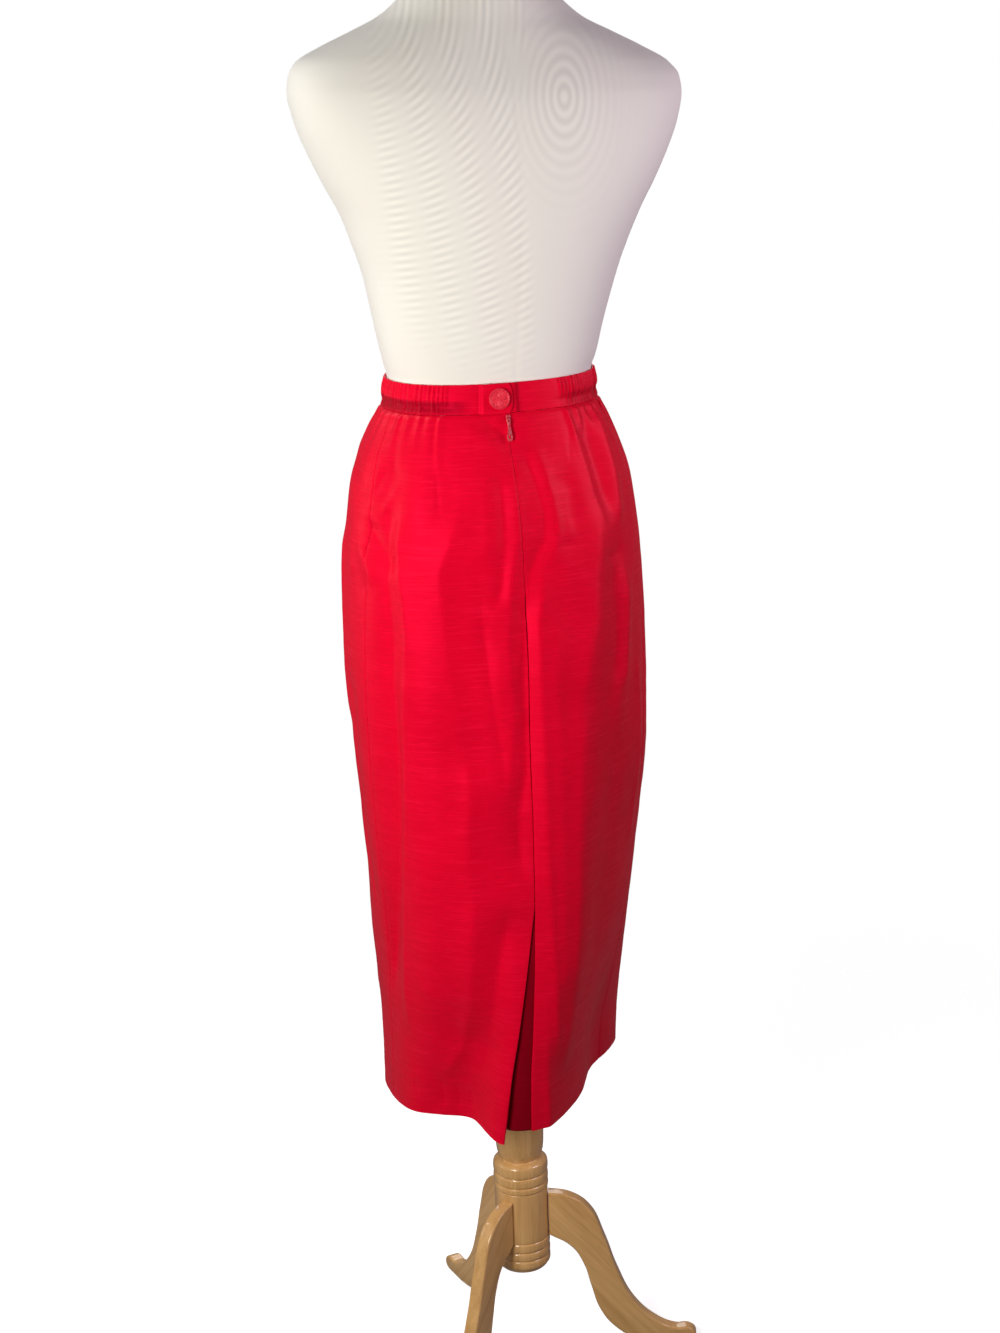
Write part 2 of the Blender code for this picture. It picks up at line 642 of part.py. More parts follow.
def mesh_from_curve(item):
    """Turns a curve object into a mesh object of the same name and place, with its caps welded."""
    bpy.context.view_layer.update()
    evaluated = item.evaluated_get(bpy.context.evaluated_depsgraph_get())
    mesh = bpy.data.meshes.new_from_object(evaluated)
    weld = bmesh.new()
    weld.from_mesh(mesh)
    bmesh.ops.remove_doubles(weld, verts=weld.verts, dist=0.000002)
    weld.to_mesh(mesh)
    weld.free()
    name, matrix, collection = item.name, item.matrix_world.copy(), item.users_collection[0]
    bpy.data.objects.remove(item, do_unlink=True)
    made = bpy.data.objects.new(name, mesh)
    made.matrix_world = matrix
    collection.objects.link(made)
    return made


def bail_curve(collection, matrix):
    """The slider's bail: half a ring about the hinge, with legs that end inside the slider."""
    data = bpy.data.curves.new("zip_bail", "CURVE")
    data.dimensions = "3D"
    data.bevel_depth = BAIL_WIRE / 2
    data.bevel_resolution = 1
    data.use_fill_caps = True
    foot = -PULL_LIFT + SLIDER_LIFT + SLIDER_THICKNESS / 2
    arch = [(0.0, BAIL_RADIUS * cos(pi * k / 8), BAIL_RADIUS * sin(pi * k / 8)) for k in range(9)]
    points = [(0.0, BAIL_RADIUS, foot), *arch, (0.0, -BAIL_RADIUS, foot)]
    spline = data.splines.new("POLY")
    spline.points.add(len(points) - 1)
    for point, position in zip(spline.points, points):
        point.co = (*position, 1.0)
    item = bpy.data.objects.new("zip_bail", data)
    collection.objects.link(item)
    item.matrix_world = matrix
    return mesh_from_curve(item)


def zip_slider(material, collection, helpers, hinge):
    """The slider's body on the cloth, with its bail joined on."""
    body = bmesh.new()
    middle = SLIDER_LIFT + SLIDER_THICKNESS / 2 - PULL_LIFT
    box(body, (SLIDER_WIDTH, SLIDER_LENGTH, SLIDER_THICKNESS), (0.0, 0.0, middle))
    made = object_from_bmesh("zip_slider", body, material, collection, hinge.matrix_world.copy())
    round_edges(made, 0.0005)
    bail = bail_curve(helpers, hinge.matrix_world.copy())
    bail.hide_render = True
    bail.display_type = "WIRE"
    union = made.modifiers.new("bail", "BOOLEAN")
    union.operation = "UNION"
    union.object = bail
    return made


def flat_plate(name, outlines, thickness, rounding, material, collection, matrix=None):
    """A flat piece from closed outlines of (x, y, corner) points; one inside another is a hole."""
    data = bpy.data.curves.new(name, "CURVE")
    data.dimensions = "2D"
    data.fill_mode = "BOTH"
    data.extrude = thickness / 2 - rounding
    data.bevel_depth = rounding
    data.bevel_resolution = 0
    data.offset = -rounding
    data.resolution_u = 2
    for outline in outlines:
        spline = data.splines.new("BEZIER")
        spline.bezier_points.add(len(outline) - 1)
        spline.use_cyclic_u = True
        for point, (x, y, corner) in zip(spline.bezier_points, outline):
            point.co = (x, y, 0.0)
            point.handle_left_type = point.handle_right_type = "VECTOR" if corner else "AUTO"
    data.materials.append(material)
    item = bpy.data.objects.new(name, data)
    collection.objects.link(item)
    if matrix:
        item.matrix_world = matrix
    return mesh_from_curve(item)


def zip_pull(material, collection, hinge):
    """A flat tab that hangs from its top bar, with the slot that the bail passes through."""
    top, end, bar = PULL_TOP_WIDTH / 2, PULL_END_WIDTH / 2, PULL_THICKNESS / 2
    side = [(top, -bar, True), (top, PULL_SLOT_END + bar, True), (0.8 * top, 0.0080, False)]
    side += [(0.8 * end, 0.0150, False), (end, PULL_LENGTH - end, False)]
    side += [(end * cos(pi / 4), PULL_LENGTH - end * (1 - sin(pi / 4)), False)]
    outline = side + [(0.0, PULL_LENGTH, False)] + [(-x, down, corner) for x, down, corner in reversed(side)]
    slot = PULL_SLOT_WIDTH / 2
    hole = [(slot, bar, True), (slot, PULL_SLOT_END, True), (-slot, PULL_SLOT_END, True), (-slot, bar, True)]
    hanging = [[(x, -down, corner) for x, down, corner in loop] for loop in (outline, hole)]
    made = flat_plate("zip_pull_tab", hanging, PULL_THICKNESS, 0.0, material, collection)
    made.parent = hinge
    made.rotation_euler.x = radians(PULL_REST_TILT)
    return made


def zip_hinge(collection):
    """An empty on the pull tab's hinge: X is the hinge's axis, Y runs up the cloth, Z out of it."""
    hinge = bpy.data.objects.new("zip_hinge", None)
    hinge.empty_display_size = 0.01
    collection.objects.link(hinge)
    hinge.matrix_world = frame_on_cloth(skirt_point, 0.0, ZIP_HEIGHT, PULL_LIFT)
    bpy.context.view_layer.update()
    return hinge


# ---------------------------------------------------------------- the dress form and its stand


def torso_reach(ring, angle):
    across, toward = sin(radians(angle)), cos(radians(angle))
    depth = ring.back if toward > 0 else ring.front
    total = abs(across / ring.half_width) ** ring.power + abs(toward / depth) ** ring.power
    return total ** (-1 / ring.power)


def torso_line(height, drawn_in=0.0):
    """The form's ring of points at this height, drawn in toward its middle."""
    ring = row_at(TORSO_TABLE, Torso, height)
    tilt = SHOULDER_TILT * ease((height - TILT_START) / (TILT_FULL - TILT_START))
    line = []
    for angle in spread(0.0, 360.0, TORSO_SEGMENTS)[:-1]:
        reach = torso_reach(ring, angle) - drawn_in
        line.append(place(ring.centre, angle, reach, height - tilt * reach * sin(radians(angle))))
    return line


def form_torso(material, collection):
    """A limbless torso, closed by a flat plate below and a softly rounded cap on the neck."""
    heights = [ring.height for ring in TORSO_RINGS]
    neck = heights[-1]
    lines = [torso_line(height) for height in heights]
    for turn in (40.0, 75.0):
        inward = NECK_TOP_ROUNDING * (1 - cos(radians(turn)))
        rise = Vector((0, 0, NECK_TOP_ROUNDING * sin(radians(turn))))
        lines.append([point + rise for point in torso_line(neck, inward)])
    torso = bmesh.new()
    rings = [[torso.verts.new(point) for point in line] for line in lines]
    for lower, upper in zip(rings, rings[1:]):
        for index in range(TORSO_SEGMENTS):
            following = (index + 1) % TORSO_SEGMENTS
            torso.faces.new((lower[index], lower[following], upper[following], upper[index]))
    torso.faces.new(list(reversed(rings[0])))
    torso.faces.new(rings[-1])
    return object_from_bmesh("form_torso", torso, material, collection)


def beads(ends):
    """Profile of a row of beads between the grooves at these heights, from the top down."""
    profile = []
    for top, bottom in zip(ends, ends[1:]):
        middle, half = (top + bottom) / 2, (top - bottom) / 2
        profile += [(GROOVE_RADIUS, top), (BEAD_RADIUS - 0.0005, middle + 0.6 * half)]
        profile += [(BEAD_RADIUS, middle), (BEAD_RADIUS - 0.0005, middle - 0.6 * half)]
    return [*profile, (GROOVE_RADIUS, ends[-1])]


def stand_post(material, collection):
    upper, lower = beads(UPPER_BEADS), beads(LOWER_BEADS)
    shaft = [(SHAFT_RADIUS, UPPER_BEADS[-1] - 0.0010), (SHAFT_RADIUS, LOWER_BEADS[0] + 0.0010)]
    profile = [(0.0, POST_TOP), (POST_RADIUS, POST_TOP), *POST_TAPER, *POST_COVE, *upper, *shaft, *lower]
    profile += [*POST_FOOT, (0.0, POST_FOOT[-1][1])]
    matrix = Matrix.Translation((POST_X, POST_Y, 0.0))
    return turned("stand_post", profile, POST_SEGMENTS, material, collection, matrix)


def stand_leg(number, material, collection):
    """One flat S-curved leg, standing on edge and running straight out from the post."""
    angle = LEG_FIRST_ANGLE + (number - 1) * 360 / LEG_COUNT
    outline = [(point.reach, point.height, point.corner) for point in LEG_OUTLINE]
    upright = Matrix.Rotation(radians(angle - 90), 4, "Z") @ Matrix.Rotation(radians(90), 4, "X")
    matrix = Matrix.Translation((POST_X, POST_Y, 0.0)) @ upright
    name = f"stand_leg_{number}"
    return flat_plate(name, [outline], LEG_THICKNESS, LEG_EDGE_ROUNDING, material, collection, matrix)


def main():
    clear_scene()
    parts = new_collection("pencil_skirt_on_dress_form")
    helpers = new_collection("helpers")
    red_cloth = make_material("red_cloth", (0.62, 0.003, 0.018), 0.55)
    red_plastic = make_material("red_plastic", (0.55, 0.02, 0.04), 0.3)
    zip_metal = make_material("zip_metal", (0.75, 0.18, 0.20), 0.35, 0.3)
    jersey = make_material("jersey", (0.80, 0.76, 0.70), 0.85)
    wood = make_material("lacquered_wood", (0.62, 0.33, 0.12), 0.3)
    waistband_front(red_cloth, parts)
    waistband_back_left(red_cloth, parts)
    waistband_back_right(red_cloth, parts)
    skirt_front(red_cloth, parts)
    skirt_back_left(red_cloth, parts)
    skirt_back_right(red_cloth, parts)
    vent_underlap(red_cloth, parts)
    button_solid(red_plastic, parts)
    zip_tape(red_cloth, parts)
    hinge = zip_hinge(parts)
    zip_slider(zip_metal, parts, helpers, hinge)
    zip_pull(zip_metal, parts, hinge)
    form_torso(jersey, parts)
    stand_post(wood, parts)
    for number in range(1, LEG_COUNT + 1):
        stand_leg(number, wood, parts)


if __name__ == "__main__":
    main()
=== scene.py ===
"""Dresses a pencil skirt and the dress form that wears it: slubbed cloth with gathers, creases and
seams, the jersey-covered form, its lacquered stand, and the stage that they are shown on.

Metres, +Z up. The skirt's back, with its zip, button and vent, faces -Y. Angles are in degrees about
the post, 0 at the back and positive toward +X.
"""

from collections import namedtuple
from math import cos, pi, radians, sin

import bmesh
import bpy
import numpy as np
from mathutils import Matrix, Vector, noise


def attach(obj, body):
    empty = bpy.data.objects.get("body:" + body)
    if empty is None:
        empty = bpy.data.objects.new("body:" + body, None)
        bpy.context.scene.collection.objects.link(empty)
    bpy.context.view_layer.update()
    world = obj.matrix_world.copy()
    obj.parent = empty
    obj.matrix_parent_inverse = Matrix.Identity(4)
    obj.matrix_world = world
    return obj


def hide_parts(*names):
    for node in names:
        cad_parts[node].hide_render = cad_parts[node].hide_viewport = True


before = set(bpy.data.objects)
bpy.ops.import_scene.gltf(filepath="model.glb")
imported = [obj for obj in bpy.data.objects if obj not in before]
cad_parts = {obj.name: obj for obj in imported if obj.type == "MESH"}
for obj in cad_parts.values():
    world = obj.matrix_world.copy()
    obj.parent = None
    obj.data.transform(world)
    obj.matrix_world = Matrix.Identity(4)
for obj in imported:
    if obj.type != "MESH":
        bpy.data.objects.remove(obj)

bl_info = {
    "name": "Pencil Skirt on a Dress Form",
    "version": (1, 0, 0),
    "blender": (4, 5, 0),
    "location": "View3D > Sidebar > Skirt",
    "description": "Builds the finished skirt, its dress form and stand, and the stage around them",
    "category": "Object",
}

WORN = "worn_skirt"
PULL = "pull_tab"

# ---------------------------------------------------------------- where the pieces are

POST_X, POST_Y = -0.004, -0.0117
WAIST_TOP, BAND_HEIGHT = 1.218, 0.032
BAND_BOTTOM = WAIST_TOP - BAND_HEIGHT
HEM_HEIGHT, HEM_TILT = 0.380, 0.010
SEAM_GAP = 0.00022
SIDE_SEAM = 72.0
ELASTIC_START, ELASTIC_END = 37.0, 107.0
BAND_GATHERS, SKIRT_GATHERS = 27, 11
TAB_END, TAB_ROUNDING = 3.8, 2.4
TAB_RISE_START, TAB_RISE_END, TAB_LIFT = -19.0, -15.5, 0.0026
UNDERLAP_END = -12.5
VENT_TOP, FLAP_SWING = 0.640, -10.0
FLAP_DROOP, FLAP_DROOP_START = 0.013, -24.0
VENT_LAP_WIDTH, VENT_LAP_TUCK, VENT_LAP_RECESS, VENT_LAP_SLANT = 15.0, 1.3, 0.0023, 0.0135
VENT_LAP_TOP = VENT_TOP + 0.012
ZIP_HEIGHT, ZIP_LENGTH, ZIP_TAPE_TOP, ZIP_TAPE_RECESS = 1.1795, 0.180, 1.172, 0.0023
ZIP_TAPE_WIDTH = 0.022
PULL_LIFT, PULL_LENGTH, PULL_REST_TILT = 0.0030, 0.0245, 3.5
BUTTON_ANGLE, BUTTON_HEIGHT, BUTTON_LIFT = -5.6, 1.2015, 0.0003
TORSO_BOTTOM = 0.925
FLAT_RADIUS = 0.160  # metres to a radian, where creases and crumples are laid out on the cloth
SEAM_RADIUS, WAIST_RADIUS = 0.15, 0.11  # the same, beside the panels' seams and along the waistband
STITCH_SHARE, STITCH_THICKNESS, STITCH_STEP = 0.055, 0.00034, 1.25
LEG_FIRST_ANGLE, LEG_THICKNESS, LEG_ROOT = -48.0, 0.017, 0.0327

# height centre left right back front round_left round_right round_front turn
Ring = namedtuple("Ring", "height centre left right back front round_left round_right round_front turn")
SKIRT_RINGS = (
    (0.365, -0.012, 0.1480, 0.1370, 0.1815, 0.1235, 2.30, 1.10, 2.2, -7.0),
    (0.440, -0.012, 0.1470, 0.1410, 0.1765, 0.1240, 2.30, 1.18, 2.2, -6.3),
    (0.500, -0.011, 0.1490, 0.1475, 0.1710, 0.1255, 2.30, 1.30, 2.2, -5.0),
    (0.600, -0.010, 0.1545, 0.1570, 0.1620, 0.1275, 2.30, 1.50, 2.2, -3.0),
    (0.700, -0.009, 0.1630, 0.1680, 0.1550, 0.1295, 2.30, 1.65, 2.2, -2.0),
    (0.800, -0.008, 0.1695, 0.1755, 0.1480, 0.1310, 2.30, 1.85, 2.2, -1.5),
    (0.900, -0.008, 0.1725, 0.1745, 0.1420, 0.1305, 2.30, 2.00, 2.2, -0.5),
    (1.000, -0.008, 0.1705, 0.1710, 0.1340, 0.1240, 2.20, 2.10, 2.2, 0.2),
    (1.080, -0.007, 0.1620, 0.1620, 0.1215, 0.1130, 2.20, 2.15, 2.2, -0.4),
    (1.110, -0.007, 0.1565, 0.1560, 0.1150, 0.1080, 2.20, 2.20, 2.2, -0.8),
    (1.140, -0.007, 0.1460, 0.1455, 0.1070, 0.1020, 2.20, 2.20, 2.2, -1.6),
    (1.165, -0.006, 0.1330, 0.1330, 0.1000, 0.0970, 2.20, 2.20, 2.2, -2.6),
    (1.186, -0.005, 0.1215, 0.1215, 0.0935, 0.0915, 2.20, 2.20, 2.2, -3.2),
    (1.218, -0.004, 0.1165, 0.1165, 0.0885, 0.0885, 2.20, 2.20, 2.2, -3.5),
)

# Large folds: angle and height of the line's two ends, lift, spread in degrees, rise and fall.
FOLDS = (
    (-66, 1.176, -58, 1.030, -0.0038, 4.0, 0.040, 0.050),
    (-92, 1.140, -73, 1.072, -0.0030, 4.5, 0.030, 0.030),
    (-60, 1.140, -71, 1.066, -0.0024, 3.5, 0.020, 0.030),
    (-74, 1.078, -56, 1.012, -0.0028, 4.5, 0.020, 0.030),
    (-50, 1.150, -47, 1.000, 0.0026, 5.0, 0.050, 0.060),
    (-57, 1.010, -66, 0.480, -0.0050, 6.0, 0.100, 0.120),
    (-46, 1.020, -46, 0.440, 0.0036, 7.0, 0.120, 0.100),
    (-33, 1.060, -22, 0.560, -0.0056, 6.5, 0.120, 0.100),
    (-6, 1.130, -18, 0.930, 0.0030, 5.5, 0.050, 0.060),
    (-17, 0.960, -11, 0.720, 0.0030, 5.0, 0.070, 0.080),
    (13, 1.160, 15, 1.010, 0.0030, 5.0, 0.040, 0.070),
    (28, 1.130, 23, 1.020, -0.0042, 4.5, 0.040, 0.060),
    (36, 1.030, 14, 0.470, 0.0044, 7.0, 0.120, 0.120),
    (56, 1.182, 51, 1.030, 0.0036, 3.6, 0.020, 0.060),
    (45, 1.176, 41, 1.040, -0.0036, 4.0, 0.030, 0.050),
    (66, 1.160, 60, 1.090, 0.0024, 3.6, 0.030, 0.030),
    (54, 1.020, 41, 0.780, 0.0030, 4.5, 0.050, 0.090),
    (60, 0.620, 52, 0.360, -0.0115, 15.0, 0.200, 0.0),
    (-27, 0.640, -35, 0.360, -0.0270, 10.5, 0.240, 0.0),
    (-9, 0.640, -16, 0.360, 0.0150, 6.5, 0.240, 0.0),
    (-48, 0.470, -50, 0.360, -0.0035, 4.5, 0.080, 0.0),
    (-112, 1.060, -106, 0.560, -0.0048, 7.0, 0.120, 0.140),
    (-131, 1.090, -126, 0.480, 0.0040, 7.5, 0.140, 0.100),
    (-152, 1.020, -148, 0.400, -0.0036, 9.0, 0.160, 0.030),
    (170, 0.960, 165, 0.360, 0.0036, 9.0, 0.180, 0.0),
    (139, 1.080, 134, 0.500, -0.0050, 8.0, 0.120, 0.140),
    (113, 1.100, 118, 0.560, 0.0040, 7.0, 0.120, 0.120),
)

# Creases, each its own depth, width and line: lift in mm (less than 0 is a trough), how wide its flanks are
# in mm, how far each end takes to die away in mm, and the angles and heights that its line goes through.
CREASES = (
    # beside the left fold that runs from hip to hem
    (-3.4, 10, 40, ((-63, 1.100), (-62, 1.050), (-60, 1.000), (-59, 0.950), (-58.5, 0.850))),
    (-4.4, 11, 60, ((-58.5, 0.900), (-58, 0.800), (-59, 0.720), (-63, 0.650), (-68, 0.600), (-73, 0.500))),
    (3.0, 10, 40, ((-56, 1.100), (-56, 1.050), (-53, 1.000), (-51, 0.950), (-52, 0.900))),
    (3.6, 12, 60, ((-51, 0.940), (-53, 0.850), (-54, 0.750), (-58, 0.650), (-60, 0.580), (-60, 0.470))),
    # the broad shallow folds of the left panel
    (4.3, 20, 50, ((-28, 1.100), (-37, 1.020), (-35, 0.950), (-33, 0.900), (-30, 0.850), (-27, 0.800))),
    (8.0, 24, 60, (
        (-30, 0.840), (-27, 0.780), (-28, 0.700), (-26, 0.650), (-27, 0.580), (-29, 0.520), (-33, 0.480),
    )),
    (3.8, 14, 40, ((-29, 0.530), (-34, 0.470), (-41, 0.440), (-48, 0.420))),
    (-4.6, 16, 90, ((-21, 1.040), (-20, 0.950), (-18, 0.900), (-16, 0.850), (-13, 0.790), (-12, 0.740))),
    (2.2, 14, 30, ((-21, 1.140), (-18, 1.120), (-18, 1.060), (-20, 1.020))),
    (-4.3, 12, 30, ((-9, 1.130), (-9, 1.050), (-11, 1.000), (-16, 0.970))),
    (2.9, 10, 40, ((-2, 1.130), (-2, 1.060), (-6, 1.000), (-8, 0.950), (-8, 0.880))),
    (2.0, 10, 40, ((-8, 0.930), (-8, 0.850), (-11, 0.790), (-13, 0.750))),
    # both sides of the centre seam
    (-3.6, 10, 30, ((4, 1.150), (8, 1.120), (11, 1.080), (10, 1.050), (4, 1.020), (0, 0.990))),
    (-5.0, 14, 50, (
        (3, 1.020), (0, 0.970), (-2, 0.900), (-2, 0.850), (-3, 0.800), (-7, 0.750), (-7, 0.700), (-6, 0.660),
    )),
    (1.7, 9, 30, ((10, 1.160), (14, 1.120), (17, 1.070), (15, 1.040), (10, 1.010))),
    (4.6, 12, 60, (
        (11, 1.030), (6, 0.960), (5, 0.900), (4.5, 0.800), (3.5, 0.700), (3.5, 0.620), (4, 0.540), (5, 0.450),
    )),
    (3.6, 18, 60, ((14, 0.980), (12, 0.900), (11, 0.800), (10, 0.700), (9, 0.600), (8, 0.500))),
    # the long edge where the back turns to the right side
    (6.0, 26, 90, (
        (42, 1.120), (38, 1.040), (34, 1.000), (32, 0.960), (27, 0.910), (24, 0.870), (21, 0.820),
    )),
    (6.0, 26, 60, (
        (24, 0.880), (20, 0.800), (19, 0.750), (17, 0.650), (16, 0.600), (14, 0.530), (11, 0.470), (8, 0.420),
    )),
    # under the right gathers
    (2.8, 11, 40, ((37, 1.180), (40, 1.140), (40, 1.100), (41, 1.070), (43, 1.035))),
    (-2.0, 10, 40, ((44, 1.180), (46, 1.130), (46.5, 1.100), (47.5, 1.050))),
    (2.3, 9, 30, ((55, 1.175), (54, 1.120), (53, 1.080), (52, 1.045))),
    (-1.9, 8, 18, ((38, 1.020), (46, 1.020), (54, 1.028))),
    (-2.9, 9, 30, ((46, 1.020), (45.5, 0.960), (44.5, 0.920), (42, 0.870))),
    (2.3, 9, 30, ((52, 1.020), (51.5, 0.960), (50, 0.920), (48, 0.860))),
    (2.3, 12, 15, ((25, 1.110), (24, 1.040))),
    # the vent's flap
    (-5.1, 18, 50, ((-12, 0.655), (-14, 0.620), (-18, 0.570), (-20, 0.520), (-23, 0.470), (-28, 0.430))),
    (-1.2, 3, 12, ((-45, 0.430), (-44, 0.386))),
    (-1.1, 3, 12, ((-38, 0.424), (-37, 0.384))),
    (-0.9, 3, 10, ((-31, 0.420), (-31, 0.384))),
    (-0.7, 4, 12, ((-58, 0.424), (-57, 0.392))),
    # drag lines from the waistband, and creases over the left hip
    (1.7, 9, 20, ((-31, 1.176), (-21, 1.156), (-12, 1.138))),
    (-3.2, 10, 20, ((-24, 1.186), (-14, 1.166), (-5, 1.150))),
    (-2.4, 7, 15, ((-66, 1.135), (-72, 1.095))),
    (2.0, 7, 15, ((-58, 1.120), (-66, 1.078))),
    (2.2, 8, 20, ((-80, 1.055), (-72, 1.030), (-65, 1.000))),
    (-2.8, 8, 20, ((-75, 1.078), (-65, 1.040), (-58, 1.012))),
    (1.3, 8, 20, ((-84, 1.130), (-82, 1.090))),
    (-1.4, 8, 20, ((-77, 1.140), (-76, 1.090))),
    (1.4, 8, 20, ((-83, 1.060), (-82, 1.000))),
    (-1.4, 8, 20, ((-75, 1.030), (-74, 0.980))),
    # lines pressed by seams and by where the cloth was folded
    (-0.5, 1.6, 10, ((-56, 1.052), (-36, 1.049))),
    (-0.4, 1.4, 10, ((-55, 1.041), (-40, 1.043))),
    (-0.4, 1.6, 8, ((-61, 0.697), (-48, 0.695))),
    (0.35, 1.2, 6, ((-18, 1.131), (-3, 1.130))),
    (-0.45, 1.0, 20, ((-47, 1.180), (-42, 1.110), (-40, 1.078))),
    (-0.45, 1.0, 20, ((38, 1.180), (34, 1.140), (33, 1.120))),
    # the sides and the front
    (1.4, 7, 30, ((60, 0.900), (64, 0.780), (60, 0.660))),
    (-1.4, 7, 30, ((70, 0.960), (68, 0.820), (72, 0.700))),
    (-2.6, 9, 25, ((98, 1.150), (112, 1.110), (118, 1.050))),
    (2.2, 8, 25, ((88, 1.130), (98, 1.060), (98, 0.990))),
    (-2.3, 8, 20, ((124, 1.160), (132, 1.100))),
    (-3.5, 16, 60, ((104, 1.010), (108, 0.840), (104, 0.640))),
    (3.5, 14, 50, ((124, 0.980), (128, 0.800), (122, 0.600))),
    (-3.2, 15, 60, ((152, 1.040), (150, 0.900), (156, 0.700))),
    (3.5, 18, 60, ((176, 1.020), (172, 0.840), (178, 0.560))),
    (-3.5, 16, 60, ((-168, 0.980), (-164, 0.760), (-168, 0.480))),
    (3.2, 14, 50, ((-142, 1.060), (-138, 0.900), (-140, 0.640))),
    (-2.9, 12, 40, ((-118, 1.120), (-124, 1.020), (-120, 0.900))),
    (-2.6, 9, 25, ((-100, 1.150), (-110, 1.100), (-116, 1.060))),
    (2.0, 9, 30, ((-96, 1.060), (-94, 0.940), (-98, 0.820))),
    (-2.0, 11, 40, ((-86, 0.900), (-90, 0.740), (-86, 0.600))),
    (2.0, 12, 40, ((-106, 0.720), (-104, 0.560), (-108, 0.460))),
    (-2.0, 12, 40, ((88, 0.700), (94, 0.560), (90, 0.460))),
)

Torso = namedtuple("Torso", "height centre half_width back front power")
TORSO_RINGS = (
    (0.925, -0.004, 0.1490, 0.1060, 0.1030, 2.2),
    (0.937, -0.004, 0.1560, 0.1130, 0.1100, 2.2),
    (1.000, -0.004, 0.1580, 0.1160, 0.1110, 2.2),
    (1.080, -0.004, 0.1500, 0.1080, 0.1040, 2.2),
    (1.140, -0.004, 0.1350, 0.0985, 0.0950, 2.2),
    (1.165, -0.005, 0.1250, 0.0930, 0.0905, 2.2),
    (1.186, -0.005, 0.1184, 0.0904, 0.0884, 2.2),
    (1.218, -0.004, 0.1144, 0.0864, 0.0864, 2.2),
    (1.233, -0.003, 0.1188, 0.0885, 0.0890, 2.2),
    (1.265, -0.002, 0.1262, 0.0920, 0.0945, 2.2),
    (1.298, 0.000, 0.1340, 0.0950, 0.1010, 2.2),
    (1.331, 0.002, 0.1425, 0.0990, 0.1080, 2.2),
    (1.362, 0.003, 0.1535, 0.1030, 0.1140, 2.2),
    (1.393, 0.004, 0.1660, 0.1060, 0.1170, 2.25),
    (1.425, 0.004, 0.1830, 0.1070, 0.1140, 2.3),
    (1.457, 0.004, 0.1980, 0.1060, 0.1080, 2.4),
    (1.490, 0.004, 0.2105, 0.1020, 0.1000, 2.5),
    (1.520, 0.004, 0.2165, 0.0950, 0.0890, 2.5),
    (1.536, 0.004, 0.2148, 0.0890, 0.0820, 2.4),
    (1.551, 0.002, 0.2050, 0.0830, 0.0760, 2.3),
    (1.567, 0.001, 0.1770, 0.0770, 0.0700, 2.2),
    (1.582, 0.001, 0.1450, 0.0720, 0.0650, 2.1),
    (1.598, 0.000, 0.1120, 0.0670, 0.0610, 2.0),
    (1.614, 0.000, 0.0915, 0.0630, 0.0580, 2.0),
    (1.640, 0.000, 0.0680, 0.0570, 0.0550, 2.0),
    (1.665, 0.000, 0.0600, 0.0550, 0.0540, 2.0),
    (1.700, 0.000, 0.0570, 0.0540, 0.0530, 2.0),
)
NECK_TOP_ROUNDING = 0.006
SHOULDER_TILT, TILT_START, TILT_FULL = 0.034, 1.26, 1.44
SEAM_OF_FORM = 4.0
BEAD_RADIUS, GROOVE_RADIUS = 0.0334, 0.0316

# A leg's outline: reach from the post, height, and whether it is a corner.
LEG_OUTLINE = (
    (LEG_ROOT, 0.2060, True), (0.0600, 0.2010, False), (0.0830, 0.1840, False), (0.1010, 0.1430, False),
    (0.1155, 0.0990, False), (0.1360, 0.0560, False), (0.1620, 0.0300, False), (0.1860, 0.0190, False),
    (0.2020, 0.0190, False), (0.2110, 0.0120, False), (0.2100, 0.0040, False), (0.2030, 0.0000, True),
    (0.1640, 0.0000, True), (0.1340, 0.0060, False), (0.1100, 0.0220, False), (0.0930, 0.0460, False),
    (0.0830, 0.0780, False), (0.0745, 0.1080, False), (0.0600, 0.1320, False), (LEG_ROOT, 0.1490, True),
)

# ---------------------------------------------------------------- settings


class ClothSettings(bpy.types.PropertyGroup):
    """Sizes and colours of the skirt's cloth."""

    colour: bpy.props.FloatVectorProperty(
        name="Cloth", description="Colour of the cloth", subtype="COLOR",
        default=(0.74, 0.0010, 0.022), min=0, max=1
    )
    slub_colour: bpy.props.FloatVectorProperty(
        name="Slubs", description="Colour of the thick slub threads", subtype="COLOR",
        default=(0.95, 0.008, 0.05), min=0, max=1
    )
    wall: bpy.props.FloatProperty(
        name="Thickness", description="Thickness of the cloth with its facing", unit="LENGTH", default=0.0014
    )
    crease_share: bpy.props.FloatProperty(
        name="Creases", description="Depth of the creases, as a share of their table's",
        default=1.35, min=0, max=2
    )
    hem_depth: bpy.props.FloatProperty(
        name="Hem", description="Depth of the turned-up hem", unit="LENGTH", default=0.042
    )
    stitch_length: bpy.props.FloatProperty(
        name="Stitch", description="Length of one stitch of the waistband", unit="LENGTH", default=0.0023
    )


class FastenerSettings(bpy.types.PropertyGroup):
    """Sizes and colours of the button and the zip."""

    button_radius: bpy.props.FloatProperty(
        name="Button radius", description="Radius of the waistband's button", unit="LENGTH", default=0.0115
    )
    button_colour: bpy.props.FloatVectorProperty(
        name="Button", description="Colour of the button", subtype="COLOR",
        default=(0.62, 0.008, 0.03), min=0, max=1
    )
    zip_colour: bpy.props.FloatVectorProperty(
        name="Zip", description="Colour of the zip's paint", subtype="COLOR",
        default=(0.60, 0.03, 0.055), min=0, max=1
    )
    tooth_pitch: bpy.props.FloatProperty(
        name="Tooth pitch", description="Distance between two of the zip's teeth", unit="LENGTH",
        default=0.0014
    )


